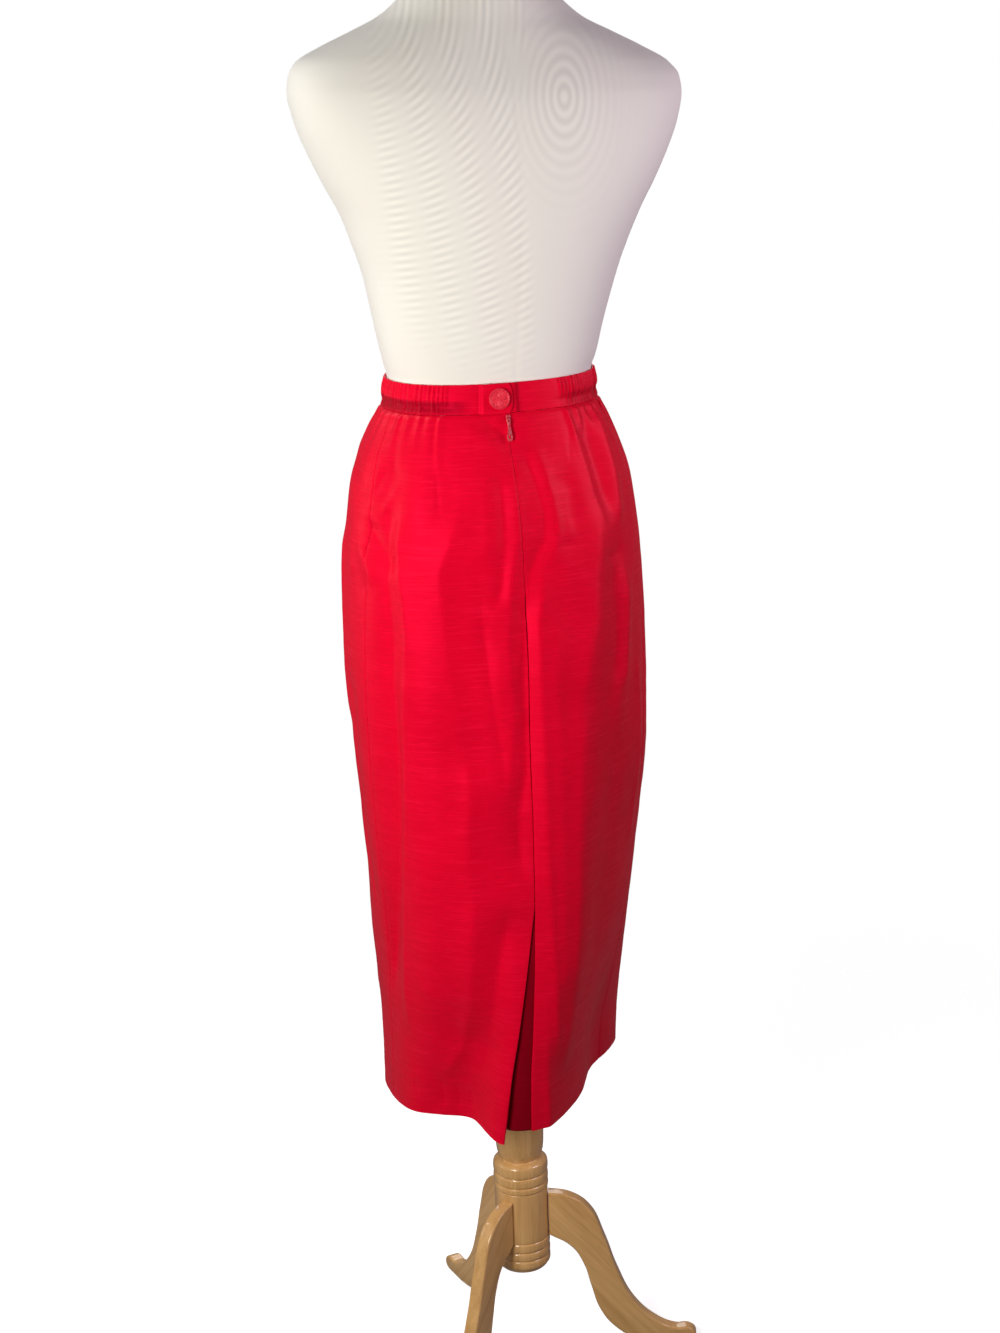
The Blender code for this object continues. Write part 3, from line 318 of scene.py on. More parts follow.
class FormSettings(bpy.types.PropertyGroup):
    """Colours of the dress form's jersey and of its stand."""

    jersey: bpy.props.FloatVectorProperty(
        name="Jersey", description="Colour of the form's jersey", subtype="COLOR",
        default=(0.86, 0.83, 0.76), min=0, max=1
    )
    rib_width: bpy.props.FloatProperty(
        name="Rib", description="Width of one rib of the jersey", unit="LENGTH", default=0.0016
    )
    wood: bpy.props.FloatVectorProperty(
        name="Wood", description="Colour of the stand's wood", subtype="COLOR",
        default=(0.88, 0.52, 0.20), min=0, max=1
    )
    dark_grain: bpy.props.FloatVectorProperty(
        name="Dark grain", description="Colour of the wood's darker grain", subtype="COLOR",
        default=(0.66, 0.34, 0.105), min=0, max=1
    )


class StageSettings(bpy.types.PropertyGroup):
    """Lights and floor."""

    floor: bpy.props.FloatVectorProperty(
        name="Floor", description="Colour of the floor", subtype="COLOR",
        default=(0.95, 0.95, 0.95), min=0, max=1
    )
    key_power: bpy.props.FloatProperty(
        name="Key light", description="Power of the main light", unit="POWER", default=14.8
    )
    fill_power: bpy.props.FloatProperty(
        name="Fill light", description="Power of the weak light", unit="POWER", default=8.5
    )
    surround: bpy.props.FloatProperty(
        name="Surround", description="Strength of the light from all round", default=0.12, min=0
    )


SETTINGS = {
    "skirt_cloth": ClothSettings,
    "skirt_fasteners": FastenerSettings,
    "skirt_form": FormSettings,
    "skirt_stage": StageSettings,
}

# ---------------------------------------------------------------- curves through the tables


def slopes(heights, values):
    """Slopes of a smooth curve through the values that never overshoots them."""
    steps = np.diff(heights)
    rates = np.diff(values) / steps
    inner = np.zeros(len(values) - 2)
    for index in range(len(inner)):
        before, after = rates[index], rates[index + 1]
        if before * after > 0:
            first = 2 * steps[index + 1] + steps[index]
            second = steps[index + 1] + 2 * steps[index]
            inner[index] = (first + second) / (first / before + second / after)
    return np.concatenate([rates[:1], inner, rates[-1:]])


def smooth_table(rows):
    columns = np.array(rows, float).T
    return columns, np.array([slopes(columns[0], column) for column in columns])


def read_table(table, row_type, height):
    """The table's row at any heights, along the smooth curves."""
    values, rates = table
    heights = values[0]
    low = np.clip(np.searchsorted(heights, height, side="right") - 1, 0, len(heights) - 2)
    step = heights[low + 1] - heights[low]
    t = np.clip((height - heights[low]) / step, 0.0, 1.0)
    rise = t * t * (3 - 2 * t)
    out, back = t * (1 - t) ** 2 * step, t * t * (t - 1) * step
    found = values[:, low] * (1 - rise) + values[:, low + 1] * rise
    return row_type(*(found + rates[:, low] * out + rates[:, low + 1] * back))


SKIRT_TABLE = smooth_table(SKIRT_RINGS)
TORSO_TABLE = smooth_table(TORSO_RINGS)


def ease(t):
    t = np.clip(t, 0.0, 1.0)
    return t * t * (3 - 2 * t)


def wrapped(angle):
    return (angle + 180) % 360 - 180


# ---------------------------------------------------------------- the cloth's surface


def gather_bounds(count):
    step = (ELASTIC_END - ELASTIC_START) / (2 * count)
    uneven = [0.24 * sin(1.9 * index) if index % count else 0.0 for index in range(2 * count + 1)]
    return np.array([ELASTIC_START + step * (index + uneven[index]) for index in range(2 * count + 1)])


BAND_GATHER_BOUNDS = gather_bounds(BAND_GATHERS)
SKIRT_GATHER_BOUNDS = gather_bounds(SKIRT_GATHERS)


def gather_crest(bounds, angle):
    """How high the rounded gathers stand at each angle, from 0 to 1, and which one it is."""
    turned = np.abs(wrapped(angle))
    inside = (turned > bounds[0]) & (turned < bounds[-1])
    low = np.clip(np.searchsorted(bounds, turned, side="right") - 1, 0, len(bounds) - 2)
    share = np.clip((turned - bounds[low]) / (bounds[low + 1] - bounds[low]), 0.0, 1.0)
    share = np.where(low % 2 == 0, share, 1 - share)
    crest = (0.5 - 0.5 * np.cos(pi * share)) * (0.72 + 0.28 * np.sin(2.3 * low + wrapped(angle) / 90))
    return np.where(inside, crest, 0.0), low // 2


def skirt_gather_lift(angle, drop):
    crest, which = gather_crest(SKIRT_GATHER_BOUNDS, angle)
    length = 0.030 * (1 + 0.45 * np.sin(2.1 * which + 1))
    return 0.0034 * crest * ease(drop / 0.004) * np.exp(-((np.maximum(drop, 0.0) / length) ** 1.6))


def fold_lift(fold, angle, height):
    start, top, end, foot, lift, spread, rise, fall = fold
    share = (top - height) / (top - foot)
    away = wrapped(angle - start - (end - start) * share)
    swell = ease((top - height) / rise)
    if fall:
        swell = swell * ease((height - foot) / fall)
    return lift * swell * np.exp(-0.5 * (away / spread) ** 2)


def crease_lift(crease, angle, height, reach):
    """A trough or ridge along a line of angles and heights: a rounded crest with straight flanks."""
    lift, width, fade, line = crease
    around = line[0][0]
    across = np.radians(wrapped(angle - around)) * reach
    nearest = np.full(np.shape(across), 1e9)
    along = np.zeros(np.shape(across))
    walked = 0.0
    places = [(radians(wrapped(turned - around)) * FLAT_RADIUS, high) for turned, high in line]
    for (ax, ay), (bx, by) in zip(places, places[1:]):
        run = np.hypot(bx - ax, by - ay)
        t = ((across - ax) * (bx - ax) + (height - ay) * (by - ay)) / run**2
        t = np.clip(t, 0.0, 1.0)
        away = np.hypot(across - ax - (bx - ax) * t, height - ay - (by - ay) * t)
        closer = away < nearest
        nearest = np.where(closer, away, nearest)
        along = np.where(closer, walked + t * run, along)
        walked += run
    fade = min(fade / 1000, walked / 2.2)
    swell = ease(along / fade) * ease((walked - along) / fade)
    crest = max(0.22 * width, 0.8)
    return lift / 1000 * swell * np.exp((crest - np.hypot(nearest * 1000, crest)) / width)


def oval(across, toward, width, depth, power):
    """How far a rounded oval reaches, from its half width, its half depth and how square it is."""
    return (np.abs(across / width) ** power + np.abs(toward / depth) ** power) ** (-1 / power)


def ring_reach(ring, angle):
    across, toward = np.sin(np.radians(angle)), np.cos(np.radians(angle))
    width = np.where(across < 0, ring.left, ring.right)
    depth = np.where(toward > 0, ring.back, ring.front)
    power = np.where(across < 0, ring.round_left, ring.round_right)
    power = np.where(toward > 0, power, ring.round_front)
    return oval(across, toward, width, depth, power)


def place(centre, angle, reach, height):
    """The points at these reaches and angles round the post."""
    across, toward = np.sin(np.radians(angle)), np.cos(np.radians(angle))
    x, y = POST_X + centre + reach * across, POST_Y - reach * toward
    return np.stack(np.broadcast_arrays(x, y, height), axis=-1)


def crumple(angle, height, size, seed):
    """Small uneven waves in the cloth, from -1 to 1."""
    turned = np.radians(angle)
    across, toward = np.sin(turned) * FLAT_RADIUS, seed * size - np.cos(turned) * FLAT_RADIUS
    spots = np.stack([across, toward, height * 0.7], axis=-1) / size
    found = [noise.noise(Vector(spot)) for spot in spots.reshape(-1, 3).tolist()]
    return np.array(found).reshape(np.shape(angle))


def skirt_points(cloth_angle, height, lift=0.0, creases=1.0):
    """Points of the skirt's outer face. cloth_angle is measured from the centre-back seam."""
    cloth_angle, height = np.broadcast_arrays(np.asarray(cloth_angle, float), np.asarray(height, float))
    ring = read_table(SKIRT_TABLE, Ring, height)
    angle = cloth_angle + ring.turn
    reach = ring_reach(ring, angle)
    total = reach + lift + sum(fold_lift(fold, angle, height) for fold in FOLDS)
    drop = BAND_BOTTOM - height
    total = total + skirt_gather_lift(cloth_angle, drop)
    if creases:
        settled = ease(drop / 0.012)
        lines = sum(crease_lift(crease, angle, height, reach) for crease in CREASES)
        waves = 0.00045 * crumple(angle, height, 0.034, 3.1) + 0.00020 * crumple(angle, height, 0.013, 8.7)
        total = total + creases * (lines * (0.3 + 0.7 * settled) + waves * settled)
    return place(ring.centre, angle, total, height)


def band_points(cloth_angle, height, lift=0.0):
    """Points of the waistband's outer face: puckered over the elastic and rolled at its lower part."""
    cloth_angle, height = np.broadcast_arrays(np.asarray(cloth_angle, float), np.asarray(height, float))
    ring = read_table(SKIRT_TABLE, Ring, height)
    crest, which = gather_crest(BAND_GATHER_BOUNDS, cloth_angle)
    share = (height - BAND_BOTTOM) / BAND_HEIGHT
    turned = np.abs(wrapped(cloth_angle))
    elastic = ease((turned - 30) / 14) * ease((ELASTIC_END + 8 - turned) / 14)
    reach_down = 0.38 + 0.22 * np.sin(1.7 * which + 0.6)
    swell = 0.22 + 0.78 * ease((share - reach_down + 0.25) / 0.30)
    roll = 0.0006 * np.sin(pi * np.clip(share, 0, 1))
    roll = roll - 0.0014 * elastic * np.exp(-(((share - 0.24) / 0.13) ** 2))
    roll = roll + 0.0004 * elastic * np.exp(-(((share - 0.66) / 0.22) ** 2))
    waves = 0.00035 * crumple(cloth_angle, height, 0.012, 5.5) * (0.4 + elastic)
    total = ring_reach(ring, cloth_angle + ring.turn) + lift + 0.0019 * crest * swell + roll + waves
    return place(ring.centre, cloth_angle + ring.turn, total, height)


# ---------------------------------------------------------------- meshes


def unit(vectors):
    return vectors / np.maximum(np.linalg.norm(vectors, axis=-1, keepdims=True), 1e-12)


def grid_normals(points):
    """Outward normals of a grid whose rows run down and whose columns run to the right."""
    down = np.gradient(points, axis=0)
    right = np.gradient(points, axis=1)
    return unit(np.cross(down, right))


def linked(name, data):
    """A new object of this mesh, curve, light or camera, in the scene."""
    made = bpy.data.objects.new(name, data)
    bpy.context.scene.collection.objects.link(made)
    return made


def mesh_object(name, points, faces, material, uv=None):
    mesh = bpy.data.meshes.new(name)
    mesh.from_pydata(points.tolist(), [], faces)
    mesh.validate()
    if uv is not None:
        layer = mesh.uv_layers.new(name="grain")
        corners = np.zeros(len(mesh.loops), np.int32)
        mesh.loops.foreach_get("vertex_index", corners)
        layer.data.foreach_set("uv", np.asarray(uv, np.float32)[corners].ravel())
    mesh.shade_smooth()
    mesh.materials.append(material)
    return linked(name, mesh)


def cloth_shell(name, outer, wall, material, inner_lift=0.0, edge=0.00035):
    """A closed cloth piece from its outer face: a grid with its top row first, left to right."""
    rows, columns = outer.shape[:2]
    walls = np.broadcast_to(np.asarray(wall + inner_lift, float), (rows, columns))
    normals = grid_normals(outer)
    normals[:, :3], normals[:, -3:] = normals[:, 3:4], normals[:, -4:-3]
    inner = outer - normals * walls[..., None]
    rim_grid = (outer + inner) / 2
    for grid in (outer, inner):
        grid[:, 0] += unit(grid[:, 1] - grid[:, 0]) * edge
        grid[:, -1] += unit(grid[:, -2] - grid[:, -1]) * edge
        grid[0] += unit(grid[1] - grid[0]) * edge
        grid[-1] += unit(grid[-2] - grid[-1]) * edge
    middle = columns // 2
    steps = np.linalg.norm(np.diff(outer, axis=1), axis=-1)
    run = np.concatenate([np.zeros((rows, 1)), np.cumsum(steps, axis=1)], axis=1)
    run -= run[:, middle : middle + 1]
    fall = np.concatenate([[0.0], -np.cumsum(np.linalg.norm(np.diff(outer[:, middle], axis=0), axis=-1))])
    uv = np.stack(np.broadcast_arrays(run, fall[:, None]), axis=-1).reshape(-1, 2)
    index = np.arange(rows * columns).reshape(rows, columns)
    quads = np.stack([index[:-1, :-1], index[1:, :-1], index[1:, 1:], index[:-1, 1:]], axis=-1).reshape(-1, 4)
    count = rows * columns
    around = np.concatenate([index[:-1, 0], index[-1, :-1], index[:0:-1, -1], index[0, :0:-1]])
    ahead = np.roll(around, -1)
    rim = 2 * count + np.arange(len(around))
    rim_ahead = np.roll(rim, -1)
    outside = np.stack([ahead, around, rim, rim_ahead], axis=-1)
    inside = np.stack([rim_ahead, rim, count + around, count + ahead], axis=-1)
    faces = np.concatenate([quads, count + quads[:, ::-1], outside, inside])
    points = np.concatenate([outer.reshape(-1, 3), inner.reshape(-1, 3), rim_grid.reshape(-1, 3)[around]])
    return mesh_object(name, points, faces.tolist(), material, np.concatenate([uv, uv, uv[around]]))


def turned_solid(name, profile, segments, material):
    """A solid turned about Z from a profile of radius and height, top to bottom, closed on the axis."""
    profile = np.array(profile, float)
    angles = np.linspace(0, 2 * pi, segments, endpoint=False)
    ring = np.stack([np.cos(angles), np.sin(angles)], axis=-1)
    body = profile[1:-1]
    levels = np.broadcast_to(body[:, None, 1:], (len(body), segments, 1))
    points = np.concatenate([body[:, None, :1] * ring, levels], axis=-1).reshape(-1, 3)
    top, bottom = len(points), len(points) + 1
    points = np.concatenate([points, [[0, 0, profile[0, 1]], [0, 0, profile[-1, 1]]]])
    faces = []
    for level in range(len(body) - 1):
        for k in range(segments):
            a, b = level * segments + k, level * segments + (k + 1) % segments
            faces.append((a, a + segments, b + segments, b))
    last = (len(body) - 1) * segments
    for k in range(segments):
        faces.append((top, k, (k + 1) % segments))
        faces.append((bottom, last + (k + 1) % segments, last + k))
    return mesh_object(name, points, faces, material)


def set_attribute(made, name, values):
    layer = made.data.attributes.new(name, "FLOAT_VECTOR", "POINT")
    layer.data.foreach_set("vector", np.asarray(values, np.float32).ravel())


def vertex_array(made):
    found = np.zeros(len(made.data.vertices) * 3, np.float32)
    made.data.vertices.foreach_get("co", found)
    return found.reshape(-1, 3).astype(float)


def flat_plate(name, outlines, thickness, rounding, material, matrix, smooth=8, rings=3):
    """A flat piece with rounded edges from closed outlines of (x, y, corner) points."""
    data = bpy.data.curves.new(name, "CURVE")
    data.dimensions = "2D"
    data.fill_mode = "BOTH"
    data.extrude = thickness / 2 - rounding
    data.bevel_depth = rounding
    data.bevel_resolution = rings
    data.offset = -rounding
    data.resolution_u = smooth
    for outline in outlines:
        spline = data.splines.new("BEZIER")
        spline.bezier_points.add(len(outline) - 1)
        spline.use_cyclic_u = True
        for point, (x, y, corner) in zip(spline.bezier_points, outline):
            point.co = (x, y, 0.0)
            point.handle_left_type = point.handle_right_type = "VECTOR" if corner else "AUTO"
    item = linked(name + "_outline", data)
    bpy.context.view_layer.update()
    mesh = bpy.data.meshes.new_from_object(item.evaluated_get(bpy.context.evaluated_depsgraph_get()))
    bpy.data.objects.remove(item, do_unlink=True)
    weld = bmesh.new()
    weld.from_mesh(mesh)
    bmesh.ops.remove_doubles(weld, verts=weld.verts, dist=0.000002)
    bmesh.ops.recalc_face_normals(weld, faces=weld.faces)
    weld.to_mesh(mesh)
    weld.free()
    mesh.name = name
    mesh.shade_smooth()
    mesh.set_sharp_from_angle(angle=radians(40))
    mesh.materials.clear()
    mesh.materials.append(material)
    made = linked(name, mesh)
    set_attribute(made, "board", vertex_array(made))
    made.data.transform(matrix)
    return made


def frame_on_cloth(points_at, cloth_angle, height, lift):
    """A matrix on the cloth: X across to the right, Y up the cloth, Z out of it."""
    here, right, left, above, below = (
        Vector(points_at(a, h))
        for a, h in (
            (cloth_angle, height), (cloth_angle + 1.5, height), (cloth_angle - 1.5, height),
            (cloth_angle, height + 0.004), (cloth_angle, height - 0.004),
        )
    )
    across, up = right - left, above - below
    out = across.cross(up).normalized()
    up.normalize()
    across = up.cross(out)
    matrix = Matrix((across, up, out)).transposed().to_4x4()
    return Matrix.Translation(here + out * lift) @ matrix


# ---------------------------------------------------------------- node helpers


def new_material(name, roughness, metallic=0.0, **sockets):
    """A material with a Principled shader, and the constant values of its sockets."""
    material = bpy.data.materials.new(name)
    material.use_nodes = True
    shader = material.node_tree.nodes["Principled BSDF"]
    shader.inputs["Roughness"].default_value = roughness
    shader.inputs["Metallic"].default_value = metallic
    for socket, value in sockets.items():
        shader.inputs[socket.replace("_", " ")].default_value = value
    return material, material.node_tree, shader


def add(tree, kind, **settings):
    """A new node with these properties. inputs holds its sockets' values, or the sockets they link to."""
    node = tree.nodes.new(kind)
    inputs = settings.pop("inputs", {})
    for key, value in settings.items():
        setattr(node, key, value)
    for key, value in inputs.items():
        if isinstance(value, bpy.types.NodeSocket):
            tree.links.new(value, node.inputs[key])
        else:
            node.inputs[key].default_value = value
    return node


def mapped(tree, source, scale, offset=(0, 0, 0)):
    node = add(tree, "ShaderNodeMapping", inputs={"Vector": source, "Scale": scale, "Location": offset})
    return node.outputs["Vector"]


def noise_value(tree, vector, scale=1.0, detail=2.0, roughness=0.5, distortion=0.0):
    inputs = {"Vector": vector, "Scale": scale, "Detail": detail}
    inputs |= {"Roughness": roughness, "Distortion": distortion}
    return add(tree, "ShaderNodeTexNoise", inputs=inputs).outputs["Fac"]


def spread_out(tree, value, low, high, to_low=0.0, to_high=1.0):
    node = add(
        tree, "ShaderNodeMapRange",
        inputs={"Value": value, "From Min": low, "From Max": high, "To Min": to_low, "To Max": to_high},
    )
    return node.outputs["Result"]


def maths(tree, operation, first, second):
    node = add(tree, "ShaderNodeMath", operation=operation, inputs={0: first, 1: second})
    return node.outputs[0]


def mixed(tree, factor, first, second, blend="MIX"):
    node = tree.nodes.new("ShaderNodeMix")
    node.data_type = "RGBA"
    node.blend_type = blend
    for socket, value in ((node.inputs[0], factor), (node.inputs[6], first), (node.inputs[7], second)):
        if isinstance(value, bpy.types.NodeSocket):
            tree.links.new(value, socket)
        elif socket == node.inputs[0]:
            socket.default_value = value
        else:
            socket.default_value = (*value[:3], 1.0)
    return node.outputs[2]


def tinted(tree, colour, shade):
    """The colour, darker or lighter by the shade."""
    grey = add(tree, "ShaderNodeCombineColor", inputs={0: shade, 1: shade, 2: shade}).outputs[0]
    return mixed(tree, 1.0, colour, grey, "MULTIPLY")


def bumped(tree, height, strength, distance):
    inputs = {"Height": height, "Strength": strength, "Distance": distance}
    return add(tree, "ShaderNodeBump", inputs=inputs).outputs["Normal"]


# ---------------------------------------------------------------- materials


def cloth_material(settings, name="red_slub_cloth", depth=1.0):
    """Slubbed silk and linen: long thick threads across, fine ones down, and a soft sheen."""
    material, tree, shader = new_material(
        name, 0.46, Sheen_Weight=0.03, Sheen_Roughness=0.45, Specular_IOR_Level=0.75
    )
    shader.inputs["Specular Tint"].default_value = (1.0, 0.01, 0.07, 1.0)
    shader.inputs["Sheen Tint"].default_value = (1.0, 0.02, 0.10, 1.0)
    grain = add(tree, "ShaderNodeUVMap", uv_map="grain").outputs["UV"]
    slubs = noise_value(tree, mapped(tree, grain, (17, 560, 1)), detail=2.5, roughness=0.62)
    strong = spread_out(tree, slubs, 0.50, 0.68)
    weft = noise_value(tree, mapped(tree, grain, (70, 1900, 1), offset=(3, 7, 0)), detail=1.5)
    warp = noise_value(tree, mapped(tree, grain, (1500, 24, 1), offset=(5, 1, 0)), detail=2.0)
    cloudy = noise_value(tree, mapped(tree, grain, (11, 7, 1)), detail=3.0)
    colour = mixed(tree, maths(tree, "MULTIPLY", strong, 0.38), settings.colour, settings.slub_colour)
    shade = spread_out(tree, weft, 0.3, 0.7, 0.90, 1.08)
    shade = maths(tree, "MULTIPLY", shade, spread_out(tree, warp, 0.3, 0.7, 0.98, 1.02))
    # a depth below 1 paints the whole cloth darker: painted shade, used for the vent's underlap
    shade = maths(tree, "MULTIPLY", shade, spread_out(tree, cloudy, 0.3, 0.7, 0.95 * depth, 1.04 * depth))
    # painted shade: the band's lower part, and the strip beside the tab's end, are painted darker through
    # this attribute
    packed = add(tree, "ShaderNodeAttribute", attribute_name="packed").outputs["Fac"]
    shade = maths(tree, "MULTIPLY", shade, spread_out(tree, packed, 0.0, 1.0, 1.0, 0.52))
    tree.links.new(tinted(tree, colour, shade), shader.inputs["Base Color"])
    tree.links.new(spread_out(tree, slubs, 0.35, 0.75, 0.50, 0.40), shader.inputs["Roughness"])
    relief = maths(tree, "ADD", maths(tree, "MULTIPLY", strong, 0.7), maths(tree, "MULTIPLY", weft, 0.7))
    relief = maths(tree, "ADD", relief, maths(tree, "MULTIPLY", warp, 0.15))
    tree.links.new(bumped(tree, relief, 0.35, 0.0002), shader.inputs["Normal"])
    return material


def thread_material(settings):
    material, tree, shader = new_material("red_thread", 0.5, Specular_IOR_Level=0.3)
    shader.inputs["Specular Tint"].default_value = (1.0, 0.05, 0.10, 1.0)
    coordinates = add(tree, "ShaderNodeTexCoord").outputs["Object"]
    twist = noise_value(tree, coordinates, scale=2600.0, detail=1.0)
    tree.links.new(mixed(tree, twist, settings.colour, settings.slub_colour), shader.inputs["Base Color"])
    return material


def jersey_material(settings):
    """Fine-ribbed stretch jersey, with the faint watered lines of ribs pulled over a curved form."""
    material, tree, shader = new_material("cream_jersey", 0.86, Sheen_Weight=0.25, Sheen_Roughness=0.5)
    shader.inputs["Specular IOR Level"].default_value = 0.25
    grain = add(tree, "ShaderNodeUVMap", uv_map="grain").outputs["UV"]
    parts = add(tree, "ShaderNodeSeparateXYZ", inputs={"Vector": grain})
    turn = maths(tree, "MULTIPLY", parts.outputs["X"], 2 * pi / settings.rib_width)
    rib = add(tree, "ShaderNodeMath", operation="SINE", inputs={0: turn}).outputs[0]
    fuzz = noise_value(tree, mapped(tree, grain, (900, 500, 1)), detail=2.0)
    tint = maths(tree, "ADD", 0.97, maths(tree, "MULTIPLY", rib, 0.006))
    for name in ("watered_left", "watered_right"):
        lines = add(tree, "ShaderNodeAttribute", attribute_name=name).outputs["Vector"]
        lines = add(tree, "ShaderNodeSeparateXYZ", inputs={"Vector": lines})
        wave = add(tree, "ShaderNodeMath", operation="SINE", inputs={0: lines.outputs["X"]}).outputs[0]
        tint = maths(tree, "ADD", tint, maths(tree, "MULTIPLY", wave, lines.outputs["Y"]))
    tree.links.new(tinted(tree, settings.jersey, tint), shader.inputs["Base Color"])
    relief = maths(tree, "ADD", maths(tree, "MULTIPLY", rib, 0.5), maths(tree, "MULTIPLY", fuzz, 0.6))
    tree.links.new(bumped(tree, relief, 0.35, 0.0002), shader.inputs["Normal"])
    return material


def wood_material(settings):
    """Pale honey wood under clear lacquer. The board attribute gives each piece's own grain: X along it."""
    material, tree, shader = new_material(
        "lacquered_wood", 0.42, Coat_Weight=0.9, Coat_Roughness=0.12, Specular_IOR_Level=0.4
    )
    board = add(tree, "ShaderNodeAttribute", attribute_name="board").outputs["Vector"]
    along = mapped(tree, board, (7, 170, 170))
    long_lines = noise_value(tree, along, detail=4.0, roughness=0.6, distortion=0.4)
    rings = noise_value(tree, mapped(tree, board, (2.2, 26, 26)), detail=1.5, distortion=1.2)
    pores = noise_value(tree, mapped(tree, board, (40, 1300, 1300)), detail=1.0)
    dark = spread_out(tree, long_lines, 0.40, 0.68, 0.0, 0.5)
    factor = maths(tree, "ADD", dark, spread_out(tree, rings, 0.4, 0.7, 0.0, 0.5))
    colour = mixed(tree, factor, settings.wood, settings.dark_grain)
    shade = spread_out(tree, pores, 0.3, 0.62, 0.90, 1.03)
    tree.links.new(tinted(tree, colour, shade), shader.inputs["Base Color"])
    tree.links.new(spread_out(tree, long_lines, 0.3, 0.7, 0.34, 0.46), shader.inputs["Roughness"])
    tree.links.new(bumped(tree, long_lines, 0.10, 0.0002), shader.inputs["Normal"])
    return material


def button_material(settings):
    material, tree, shader = new_material("red_button", 0.32, Specular_IOR_Level=0.5)
    coordinates = add(tree, "ShaderNodeTexCoord").outputs["Object"]
    cloudy = noise_value(tree, coordinates, scale=420.0, detail=3.0)
    light = tuple(min(1.0, channel * 1.35 + 0.04) for channel in settings.button_colour)
    tree.links.new(mixed(tree, cloudy, settings.button_colour, light), shader.inputs["Base Color"])
    tree.links.new(spread_out(tree, cloudy, 0.3, 0.7, 0.28, 0.42), shader.inputs["Roughness"])
    shader.inputs["Specular Tint"].default_value = (1.0, 0.35, 0.40, 1.0)
    return material


def zip_material(settings):
    material, tree, shader = new_material("painted_zip", 0.3, metallic=0.25, Specular_IOR_Level=0.6)
    coordinates = add(tree, "ShaderNodeTexCoord").outputs["Object"]
    worn = spread_out(tree, noise_value(tree, coordinates, scale=900.0, detail=3.0), 0.52, 0.66)
    bright = tuple(min(1.0, channel * 0.6 + 0.42) for channel in settings.zip_colour)
    colour = mixed(tree, maths(tree, "MULTIPLY", worn, 0.6), settings.zip_colour, bright)
    tree.links.new(colour, shader.inputs["Base Color"])
    tree.links.new(spread_out(tree, worn, 0.0, 1.0, 0.34, 0.22), shader.inputs["Roughness"])
    return material


MATERIALS = {
    "cloth": lambda scene: cloth_material(scene.skirt_cloth),
    # the same cloth painted darker, as painted shade for the vent's underlap in the flap's shadow
    "cloth_painted_shade": lambda scene: cloth_material(scene.skirt_cloth, "red_slub_cloth_wrong_side", 0.30),
    "thread": lambda scene: thread_material(scene.skirt_cloth),
    "jersey": lambda scene: jersey_material(scene.skirt_form),
    "wood": lambda scene: wood_material(scene.skirt_form),
    "button": lambda scene: button_material(scene.skirt_fasteners),
    "zip": lambda scene: zip_material(scene.skirt_fasteners),
}
made_materials = {}


def finish_of(name):
    """The material of this name, made the first time that it is asked for."""
    if name not in made_materials:
        made_materials[name] = MATERIALS[name](bpy.context.scene)
    return made_materials[name]


# ---------------------------------------------------------------- rows of stitches and teeth


def input_socket(tree, name, kind, value):
    socket = tree.interface.new_socket(name=name, in_out="INPUT", socket_type=kind)
    if value is not None:
        socket.default_value = value
    return socket.identifier


